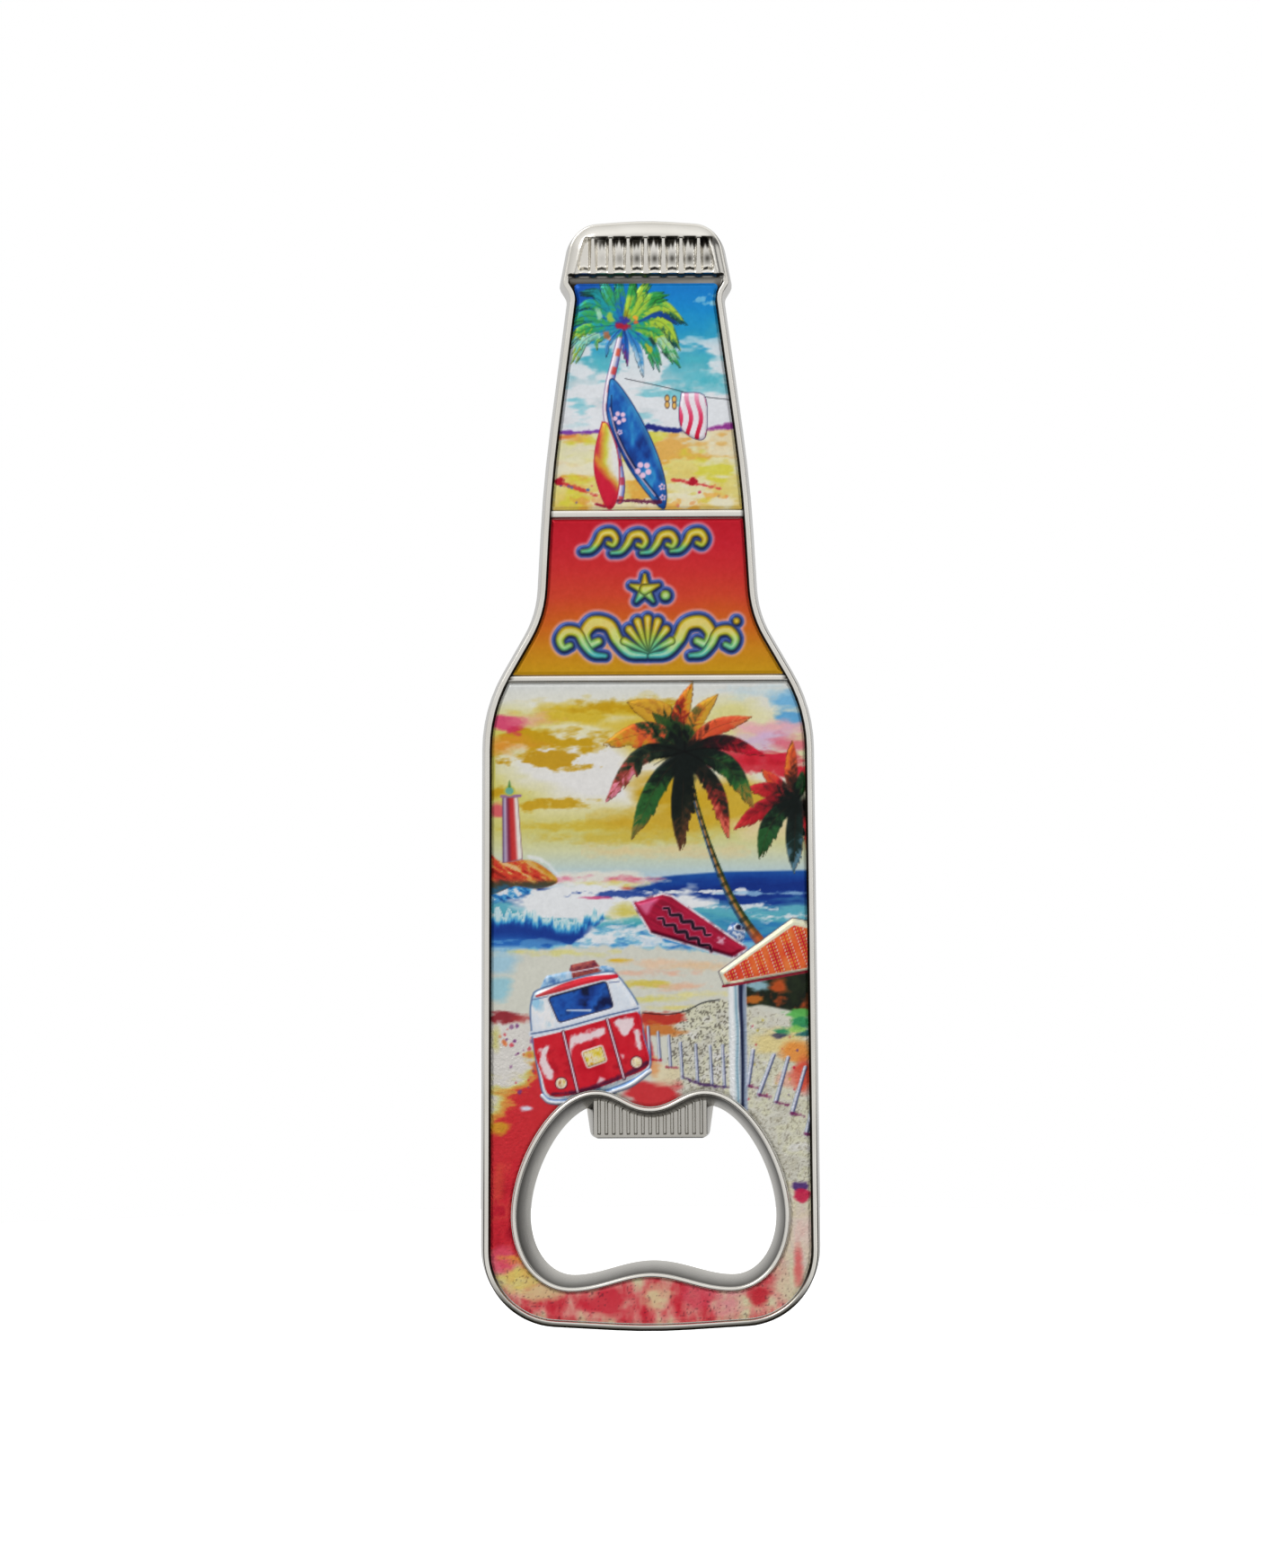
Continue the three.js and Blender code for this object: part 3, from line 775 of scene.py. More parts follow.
def paint_title():
    """A red to gold band with embossed wave scrolls, a starfish and a shell where the lettering was."""
    panel = Panel(-15.3, 15.3, 11.1, 28.9, 0.105)
    t = np.clip((28.8 - panel.z) / 17.4 + 0.03 * (noise(panel.x, panel.z, 4, 3) - 0.5), 0, 1)
    panel.all().paint(graded(t, [(190, 22, 40), (198, 32, 46), (202, 46, 46), (204, 66, 42), (202, 96, 26),
        (200, 130, 22), (196, 146, 20)]))
    wave = np.array([(-2.1, -0.75), (-1.2, -0.6), (-0.55, 0.15), (-0.1, 0.95), (0.75, 1.1), (1.25, 0.5),
        (1, -0.1), (0.5, 0.05)])
    puffs = []

    def scroll(x, z, size, width, mirror=1):
        puffs.append(panel.stroke(wave * (size * mirror, size) + (x, z), [0.6 * width, width, 1.15 * width,
            0.7 * width], 2))

    for k in range(4):
        scroll(-4.9 + 3.3 * k, 25.75 + 0.12 * math.cos(2.1 * k), 1.12, 0.86)
    for side in (-1, 1):
        scroll(4.5 * side, 14.9, 2, 1.35, side)
        scroll(7.9 * side, 14.5, 1.5, 1.05, side)
    for k in range(5):
        a = math.radians(90 + 72 * k)
        arm = (-0.3 + 1.6 * math.cos(a), 20.75 + 1.6 * math.sin(a))
        puffs.append(panel.stroke([(-0.3, 20.75), arm], [1.3, 0.45], 2, smooth=False))
    puffs.append(panel.ellipse(2, 20.1, 0.6, 0.6, 0, 2))
    puffs.append(panel.ellipse(9.9, 17.2, 0.42, 0.42, 0, 2))
    for k in range(7):
        a = math.radians(90 + 24 * (k - 3))
        rib = (2.75 * math.cos(a), 13.9 + 3.6 * math.sin(a))
        puffs.append(panel.stroke([(0, 13.7), rib], [0.35, 0.6, 1], 2, smooth=False))

    # a pale halo, then two blue outlines, then the puffed shapes themselves, with painted shade towards their
    # edges and a painted highlight on their crowns
    for width, colour, soft, strength in ((0.62, (222, 170, 190), 0.45, 0.85), (0.44, (66, 92, 158), 0.16, 1),
                                          (0.2, (36, 52, 110), 0.16, 1)):
        for puff in puffs:
            puff.wider(width).paint(colour, soft, strength)
    for puff in puffs:
        row = np.where(puff.z > 23.5, (27.1 - puff.z) / 2.6, np.where(puff.z > 18.6, (22.3 - puff.z) / 3.3,
            (17.8 - puff.z) / 4.6))
        fill = graded(np.clip(row + 0.2 * (noise(puff.x, puff.z, 0.9, 8) - 0.5), 0, 1), [(206, 182, 44),
            (204, 168, 42), (176, 190, 66), (112, 190, 130), (70, 176, 182)])
        # painted shade: the fill darkens towards each puff's edge, over its embossed bevel
        puff.paint(fill * (0.55 + 0.45 * smoothstep(0.05, 0.28, -puff.depth))[..., None], 0.14)
        # painted highlight on each puff's crown
        puff.paint((238, 240, 196), 0.1, 0.45 * smoothstep(0.3, 0.42, -puff.depth))
        puff.wider(0.4).raised(0.22, 0.55)
    panel.settle()
    return panel


# ---------------------------------------------------------------- the main picture

def washes(panel, rows):
    """Soft uneven patches, each (x, z, half width, half height, colour, raggedness, softness, strength)."""
    for k, (x, z, rx, rz, colour, rag, soft, strength) in enumerate(rows):
        patch = panel.ellipse(x, z, rx, rz, 0, 2.5)
        wave = cloudy(patch.x / 2.6, patch.z, max(0.5, rz), 200 + k) - 0.5
        patch.changed(patch.depth + 2 * rag * wave).paint(colour, soft, strength)


GOLD, CRIMSON, FOAM = (194, 150, 16), (206, 24, 52), (226, 228, 230)
DARK, LEAF, ORANGE = (14, 22, 20), (30, 74, 34), (214, 120, 40)


def paint_sky(panel):
    t = np.clip((10.4 - panel.z) / 21.5, 0, 1)
    panel.all().paint(graded(t, [(214, 216, 214), (224, 222, 206), (222, 214, 160), (220, 214, 170),
        (224, 221, 206), (222, 216, 176), (204, 196, 110), (206, 208, 168), (178, 202, 214)]))
    washes(panel, [
        (-16.5, 1, 5, 5, (206, 198, 92), 1, 4, 0.9),
        (-6, 0.6, 8.5, 3.6, (226, 224, 222), 1.6, 2.4, 0.95),
        (-6.5, 7.2, 9, 1.3, (208, 176, 40), 0.8, 1.2, 0.9),
        (-3, 7.7, 5.5, 0.6, GOLD, 0.5, 0.6, 0.9),
        (0.5, 4.5, 4.5, 2.6, (212, 182, 60), 0.8, 2, 0.9),
        (-12, 3.9, 5.6, 1.1, GOLD, 0.8, 0.5, 0.95),
        (-15.2, 3.5, 2.6, 0.7, (226, 140, 56), 0.5, 1.2, 0.7),
        (-10.6, 1.9, 4, 0.8, (192, 146, 24), 0.7, 0.35, 0.95),
        (-8.2, 1, 1.5, 0.22, (192, 146, 24), 0.3, 0.25, 0.9),
        (-11.6, -2.9, 4, 0.85, (196, 154, 30), 0.6, 0.35, 0.95),
        (-16.9, -3.6, 1.2, 0.8, (212, 84, 96), 0.4, 0.6, 0.9),
        (-16.8, -1.6, 1, 0.6, GOLD, 0.4, 0.5, 0.9),
        (-6.5, -5.6, 8, 0.4, (204, 178, 62), 0.4, 0.6, 0.9),
        (1.5, -5, 6, 1.3, (200, 160, 40), 0.7, 1.4, 0.85),
        (3, -1.9, 5, 1.9, GOLD, 0.7, 1.2, 0.9),
        (9.5, -2.8, 4.6, 2.6, (202, 164, 40), 0.7, 1.6, 0.9),
        (-3, -6.9, 8, 0.5, (202, 176, 62), 0.4, 0.7, 0.8),
        (2, -8.4, 7, 0.5, (224, 194, 140), 0.4, 1, 0.6),
        (-15.6, 6, 1.7, 0.8, (214, 70, 112), 0.5, 0.5, 0.95),
        (-15, 5.1, 0.9, 0.45, (206, 44, 86), 0.3, 0.4, 0.9),
        (-12.6, 6.3, 1.6, 0.5, (226, 150, 150), 0.5, 1.2, 0.6),
        (9.2, 6.8, 3, 1.5, (214, 206, 120), 0.8, 2, 0.7),
        (15.8, 8.5, 2.2, 1, (104, 174, 220), 0.6, 0.8, 0.9),
        (16.2, 6.5, 1.6, 0.8, (84, 160, 214), 0.5, 0.6, 0.9),
        (12.6, 9.3, 2.6, 0.5, (186, 212, 222), 0.4, 0.9, 0.7),
        (13.6, 5.1, 4.2, 0.7, (230, 168, 182), 0.5, 0.9, 0.85),
        (12.6, 3.9, 4, 0.9, (206, 176, 214), 0.5, 1, 0.8),
        (15.8, 3.6, 2.2, 0.8, (220, 96, 116), 0.5, 0.9, 0.8),
        (12.6, 1.9, 5.6, 0.95, CRIMSON, 0.5, 0.5, 0.95),
        (16.2, 0.4, 2.4, 1, (206, 44, 58), 0.5, 0.6, 0.9),
        (14, -5.6, 4, 1.4, (226, 206, 170), 0.6, 1.2, 0.8),
    ])


def paint_sea(panel):
    sea = panel.polygon([(-18, -12.2), (-9, -12.6), (-0.5, -11.5), (3, -11.1), (8, -10.75), (19, -10.6),
        (19, -20), (-18, -20)], margin=2)
    depth = np.clip((-10.6 - sea.z) / 8.6, 0, 1) + 0.22 * (cloudy(sea.x / 5, sea.z, 1.1, 301) - 0.5)
    blues = graded(np.clip(depth, 0, 1), [(24, 78, 158), (18, 62, 146), (14, 46, 128), (18, 54, 138),
        (92, 170, 190), (84, 168, 184), (40, 118, 178), (30, 96, 180), (120, 186, 214)])
    sea.paint(blues, 0.25)
    washes(panel, [
        (-5.5, -11.7, 5.6, 0.9, (224, 220, 208), 0.4, 0.5, 0.95),
        (-2.2, -11.5, 2.2, 0.28, (214, 96, 122), 0.25, 0.4, 0.8),
        (-5.5, -12.1, 3.2, 0.4, (218, 206, 118), 0.25, 0.4, 0.9),
        (-9.2, -11.4, 1.6, 0.25, (222, 120, 150), 0.3, 0.5, 0.8),
        (-3.2, -12.55, 0.9, 0.16, (196, 60, 50), 0.15, 0.2, 0.8),
        (-6.5, -14.3, 11.8, 1.9, FOAM, 0.9, 0.4, 1),
        (-3.4, -13.15, 3.6, 0.3, (34, 66, 148), 0.28, 0.2, 0.9),
        (-6, -13.6, 1.2, 0.14, (208, 66, 120), 0.15, 0.2, 0.8),
        (5.5, -12.95, 4.4, 0.16, FOAM, 0.3, 0.2, 0.95),
        (12.5, -13.2, 5, 0.1, (150, 190, 220), 0.25, 0.2, 0.8),
        (8, -14.6, 4, 0.28, FOAM, 0.4, 0.3, 0.9),
        (14.2, -15.9, 3.6, 0.3, FOAM, 0.4, 0.3, 0.9),
        (-2.6, -15.2, 2, 0.9, (206, 192, 84), 0.4, 0.8, 0.9),
        (-0.6, -16.3, 3.4, 0.6, (74, 168, 176), 0.4, 0.5, 0.85),
        (-3, -18, 6, 0.9, (214, 224, 232), 0.7, 0.4, 0.95),
        (0.5, -18.3, 3.4, 0.22, (60, 140, 204), 0.3, 0.25, 0.85),
        (-5, -18.8, 4, 0.16, (60, 140, 204), 0.2, 0.2, 0.8),
    ])
    # the breaking wave: foam, a pale fringe in fingers, then deep blue
    wave = panel.polygon([(-18.5, -13.6), (-5.2, -13.8), (-4.9, -15.6), (-6.4, -17.2), (-8.6, -18.6),
        (-12, -19.2), (-18.5, -19.5)])
    crest = -15.1 - 0.9 * smoothstep(-15, -9, wave.x) + 1.1 * smoothstep(-8, -5.2, wave.x)
    fingers = 1.5 * (cloudy(wave.x * 1.7, wave.z * 0.55, 0.8, 305) - 0.5)
    down = (crest - wave.z + fingers * smoothstep(2.6, 0.6, crest - wave.z)) / 4.1
    wave.ragged(0.25, 0.8, 306).paint(graded(np.clip(down, 0, 1), [FOAM, (160, 206, 214), (60, 150, 204),
        (26, 78, 158), (22, 56, 140), (22, 58, 142), (26, 72, 156), (38, 100, 180), (40, 104, 184),
        (150, 196, 220)]), 0.3, smoothstep(-0.02, 0.04, down))
    streaks = smoothstep(0.62, 0.78, cloudy(wave.x / 3.2, wave.z, 0.8, 307)) * smoothstep(0.55, 0.65, down)
    wave.paint((96, 160, 210), 0.3, 0.6 * streaks)
    splash = panel.polygon([(-18.5, -11.9), (-12.6, -12), (-12.2, -13), (-14.8, -13.6), (-18.5, -14.3)])
    slant = cloudy(splash.x * 0.8 + splash.z * 1.2, splash.z * 0.7 - splash.x * 0.4, 0.8, 308)
    splash.ragged(0.2, 0.6, 309).paint(graded(slant, [(24, 70, 130), (40, 120, 190), (90, 170, 214), FOAM,
        FOAM, FOAM]), 0.3, 0.95)
    fleck = panel.polygon([(-9.5, -16.9), (1, -16.6), (2, -18.9), (-12, -18.9)])
    fleck.ragged(0.3, 0.8, 310).paint(graded(cloudy(fleck.x / 2.4, fleck.z, 0.7, 311), [(50, 120, 190),
        (110, 180, 208), FOAM, FOAM, (206, 220, 226)]), 0.4, 0.85 * smoothstep(-7.6, -6.2,
        fleck.x - 0.6 * (fleck.z + 17.5)))


def paint_beach(panel):
    beach = panel.polygon([(-18, -19.5), (-6, -18.9), (3, -19.2), (10, -20), (19, -20), (19, -63),
        (-18, -63)], margin=2)
    beach.ragged(0.25, 1, 320).paint((208, 208, 196), 0.4)
    foot = panel.polygon([(-19, -39), (-9, -37), (19, -40), (19, -63), (-19, -63)], margin=2)
    mottle = cloudy(foot.x, foot.z / 1.7, 1.5, 321, 5)
    reds = graded(mottle, [(176, 20, 40), (196, 34, 48), (204, 40, 52), (206, 56, 56), (186, 26, 46)])
    pinks = graded(mottle, [(196, 34, 52), (204, 60, 70), (212, 100, 100), (216, 140, 130), (212, 176, 146),
        (210, 200, 164)])
    sands = graded(mottle, [(212, 150, 150), (208, 200, 184), (214, 206, 176), (218, 208, 196),
        (218, 180, 170)])
    left = smoothstep(-9, -14, foot.x + 3 * (mottle - 0.5)) * smoothstep(-56.5, -52.5, foot.z - 2 * mottle)
    right = smoothstep(11.5, 15.5, foot.x + 0.12 * (foot.z + 50))
    mixed = pinks * (1 - left[..., None]) + reds * left[..., None]
    foot.ragged(0.8, 1.6, 324).paint(mixed * (1 - right[..., None]) + sands * right[..., None], 0.8)
    washes(panel, [
        (-16.6, -20.9, 2.4, 1.4, (150, 196, 220), 0.6, 1, 0.8),
        (-17, -23.6, 1.4, 1.2, (140, 196, 214), 0.5, 0.9, 0.8),
        (-9.5, -19.7, 4, 0.25, (214, 208, 130), 0.3, 0.4, 0.8),
        (-3.6, -20.55, 1.2, 0.2, (216, 172, 40), 0.15, 0.3, 0.9),
        (1.5, -20.9, 3.6, 0.4, (228, 196, 166), 0.3, 0.5, 0.9),
        (6, -21.3, 2.6, 0.3, (224, 190, 150), 0.3, 0.5, 0.8),
        (-0.4, -23.2, 2.6, 0.4, (210, 190, 80), 0.25, 0.4, 0.9),
        (3, -23.5, 2, 0.3, (228, 180, 150), 0.25, 0.4, 0.8),
        (5.5, -24.4, 3.2, 0.25, (224, 214, 140), 0.25, 0.4, 0.8),
        (0.5, -24.9, 2.6, 0.35, (214, 206, 110), 0.25, 0.4, 0.85),
        (3.4, -25.8, 2, 0.25, (220, 206, 120), 0.2, 0.4, 0.8),
        (0.5, -22, 3, 0.2, (226, 176, 150), 0.25, 0.4, 0.8),
        (-16.5, -26.9, 1.9, 0.7, (140, 30, 40), 0.35, 0.35, 0.9),
        (-14.4, -27, 1.6, 0.4, (176, 60, 60), 0.3, 0.4, 0.7),
        (-16.9, -44.4, 0.5, 2.6, (214, 90, 60), 0.5, 0.7, 0.5),
        (-16.6, -54, 1.2, 1.6, (222, 84, 110), 0.5, 0.8, 0.7),
        (-14.2, -53.9, 1.8, 0.5, (222, 150, 60), 0.5, 0.7, 0.85),
        (-14.4, -55.8, 2, 1.2, (220, 196, 96), 0.8, 1, 0.85),
        (-12.4, -57.2, 2.2, 1, (216, 206, 150), 0.8, 1, 0.8),
        (-5, -58.2, 2.2, 1.6, (204, 34, 54), 0.8, 0.9, 0.85),
        (0.4, -58.4, 1.6, 1.6, (216, 208, 160), 0.8, 1.1, 0.85),
        (5.4, -58, 1.5, 1.6, (210, 62, 82), 0.7, 0.9, 0.75),
        (8.6, -58.9, 1.8, 1.2, (220, 140, 150), 0.8, 1.2, 0.7),
        (12.2, -57.8, 1.2, 1.5, (192, 30, 46), 0.7, 0.8, 0.85),
        (15.4, -56.6, 1.6, 2, (214, 204, 170), 0.8, 1.2, 0.8),
        (17, -52, 1.4, 3, (224, 196, 184), 0.7, 1.2, 0.6),
        (16.4, -54.4, 0.4, 1.6, (214, 90, 90), 0.3, 0.5, 0.8),
        (16.9, -45.6, 0.8, 0.7, (70, 40, 110), 0.4, 0.35, 0.9),
        (16.9, -46.9, 0.8, 0.9, (196, 30, 70), 0.4, 0.35, 0.9),
    ])
    # the sand beside the van turns through yellow and orange to red
    side = panel.polygon([(-19, -27.4), (-11.4, -27.6), (-9.6, -39.4), (-13, -43), (-19, -43)])
    pale_z, red_z = -33.6 + 0.7 * (side.x + 17.5), -39.9 + 1.35 * (side.x + 17.5)
    turn = (pale_z - side.z) / (pale_z - red_z) + 0.9 * (cloudy(side.x / 2.4, side.z, 1.1, 340, 5) - 0.5)
    side.ragged(0.4, 0.8, 341).paint(graded(np.clip(turn, 0, 1), [(214, 210, 204), (212, 206, 190),
        (208, 204, 140), (208, 178, 96), (212, 150, 70), (214, 130, 64), (206, 60, 54), (202, 44, 52)]), 0.5)
    washes(panel, [(-17.2, -29.4, 0.6, 1.4, (196, 190, 90), 0.3, 0.5, 0.7), (-13.4, -31.2, 0.7, 0.5,
        (214, 150, 50), 0.3, 0.3, 0.8), (-16.9, -39, 1.2, 0.8, (206, 160, 40), 0.4, 0.5, 0.85), (-12.7, -32.4,
        0.6, 1.2, (206, 70, 50), 0.4, 0.4, 0.8)])
    foot.paint((60, 30, 40), 0.2, 0.45 * smoothstep(0.80, 0.92,
        noise(foot.x, foot.z, 0.19, 342)) * smoothstep(-50, -56, foot.z + 2 * (foot.x > 14) * (foot.x - 14)))
    frost = panel.polygon([(2.6, -26.5), (6, -25.3), (8, -25), (10.5, -25.6), (14, -26.6), (19, -27),
        (19, -45.5), (9, -45), (3, -38), (1.5, -34)], margin=1)
    speck = noise(frost.x, frost.z, 0.15, 330) * 0.8 + noise(frost.x, frost.z, 0.4, 331) * 0.3
    frost.ragged(0.2, 0.8, 332).paint(graded(cloudy(frost.x, frost.z, 1.6, 333), [(190, 186, 168),
        (206, 204, 192), (208, 206, 180), (216, 214, 208)]), 0.3)
    dark = smoothstep(0.60, 0.74, speck) * smoothstep(9.6, 8.6, frost.x) * smoothstep(-37, -32, frost.z)
    frost.paint((76, 74, 68), 0.2, 0.62 * dark)
    frost.paint((120, 110, 92), 0.2, 0.45 * smoothstep(0.66, 0.84, speck))
    washes(panel, [
        (14.6, -29.7, 2.6, 1.2, (222, 204, 140), 0.6, 0.8, 0.9),
        (16.6, -31, 1.8, 1.2, (226, 140, 60), 0.5, 0.8, 0.9),
        (17.2, -33.2, 1.4, 2, (212, 70, 50), 0.5, 0.7, 0.9),
        (15.6, -34, 1.2, 0.8, (226, 150, 130), 0.4, 0.7, 0.6),
        (0.9, -27.1, 2.4, 0.7, (186, 48, 36), 0.35, 0.35, 0.95),
        (1.2, -28.3, 2, 0.7, (196, 112, 44), 0.4, 0.5, 0.9),
        (-0.4, -30, 0.7, 2.4, (200, 40, 50), 0.3, 0.35, 0.9),
        (0.3, -35.6, 3.4, 1.6, (200, 44, 50), 0.6, 0.6, 0.95),
        (2, -33.4, 1.4, 1, (222, 208, 170), 0.4, 0.7, 0.8),
        (0.4, -32.6, 0.8, 1.4, (222, 150, 90), 0.4, 0.5, 0.8),
        (-13.7, -37, 0.7, 0.28, (214, 220, 236), 0.15, 0.25, 0.95),
    ])
    panel.stroke([(-0.8, -26.4), (1.5, -26.6), (3.8, -26.3), (6, -25.3), (7.8, -25)],
        [0.12]).paint(INK, 0.12, 0.9)
    panel.spots(30, (-17, -12.5, -36, -27.5), (0.06, 0.26), [(206, 40, 60), (216, 120, 70), (120, 60, 120)],
        41)
    panel.spots(26, (10.8, 17.6, -37, -27), (0.05, 0.16), [(196, 30, 60), (190, 170, 60), (90, 60, 120)], 42)


def paint_land(panel):
    head = panel.blob([(-18, -8.2), (-16.4, -9.5), (-13.6, -9.3), (-11.6, -10.2), (-10.2, -11.7),
        (-12.4, -12.5), (-15, -12.2), (-18, -12.9)])
    slope = (head.x * 0.55 + head.z, head.x - head.z * 0.55)
    strokes = 0.65 * cloudy(slope[0] * 2.2, slope[1] * 0.5, 0.8, 350)
    strokes = strokes + 0.35 * cloudy(head.x, head.z, 0.7, 351)
    head.paint(graded(np.clip(1.6 * strokes - 0.3, 0, 1), [(146, 36, 26), (190, 44, 36), (208, 62, 44),
        (204, 84, 50), (214, 150, 70), (222, 180, 130)]), 0.2)
    edge = smoothstep(-0.9, -0.2, head.depth) * smoothstep(-15, -11.5, head.x)
    edge = edge * smoothstep(-12.4, -11.6, head.z)
    head.paint((200, 150, 40), 0.2, 0.8 * edge)
    head.paint((58, 66, 50), 0.2, 0.9 * smoothstep(-10.9, -11.7, head.z + 0.8 * strokes))
    head.paint((44, 96, 130), 0.2, 0.9 * smoothstep(-11.7, -12.3, head.z + 0.8 * strokes))
    panel.stroke([(-13.4, -8.9), (-11.5, -9.6), (-9.9, -11.3)],
        [0.3, 0.4, 0.2]).ragged(0.1, 0.5, 4).paint(FOAM, 0.3, 0.8)
    tower = panel.polygon([(-16.3, -2.3), (-14.6, -2.3), (-14.1, -9.2), (-16.3, -9.6)])
    across = (tower.x + 16.3) / (1.75 + 0.06 * (-2.3 - tower.z))
    tower.paint(graded(np.clip(across, 0, 1), [(96, 80, 116), (186, 170, 196), (120, 40, 70), (190, 46, 46),
        (196, 60, 60), (230, 222, 216), (222, 216, 206)]), 0.14)
    tower.line(0.1).paint((110, 60, 90), 0.1, 0.6)
    panel.stroke([(-16.4, -2.2), (-14.3, -2.15)], [0.3], smooth=False).paint((150, 110, 150), 0.15)
    lantern = panel.ellipse(-15.5, -1.6, 0.55, 0.5).paint((104, 168, 148), 0.25)
    lantern.line(0.15).paint((206, 190, 60), 0.15, 0.8)
    panel.stroke([(-15.5, -1.1), (-15.5, -0.5)], [0.3, 0.1], smooth=False).paint((70, 130, 60), 0.15)

    woods = panel.blob([(10.8, -22.6), (14, -21.6), (18.6, -21), (18.6, -26.6), (15.5, -26.2), (12.5, -25.6),
        (10.8, -25.6)])
    woods.paint(graded(cloudy(woods.x, woods.z, 1.8, 360), [(20, 24, 18), (34, 44, 28), (26, 32, 24),
        (180, 76, 34)]), 0.25)
    washes(panel, [
        (11.9, -23.4, 1.1, 0.6, (150, 190, 204), 0.3, 0.4, 0.9),
        (14.4, -23.6, 1.1, 0.9, (206, 84, 34), 0.4, 0.5, 0.85),
        (11.6, -24.9, 1, 0.5, (196, 110, 40), 0.3, 0.4, 0.9),
        (16.6, -26.6, 1.5, 0.6, (90, 178, 84), 0.3, 0.3, 0.95),
        (16.9, -27.6, 1.1, 0.7, (44, 140, 84), 0.3, 0.3, 0.95),
        (17.2, -28.7, 1, 0.5, (36, 104, 104), 0.3, 0.3, 0.95),
        (16.4, -28.2, 0.9, 0.4, (140, 200, 90), 0.25, 0.3, 0.8),
        (14.8, -28.6, 0.8, 0.4, (48, 140, 96), 0.25, 0.25, 0.95),
        (14.3, -29, 0.9, 0.2, (60, 60, 90), 0.2, 0.2, 0.8),
    ])


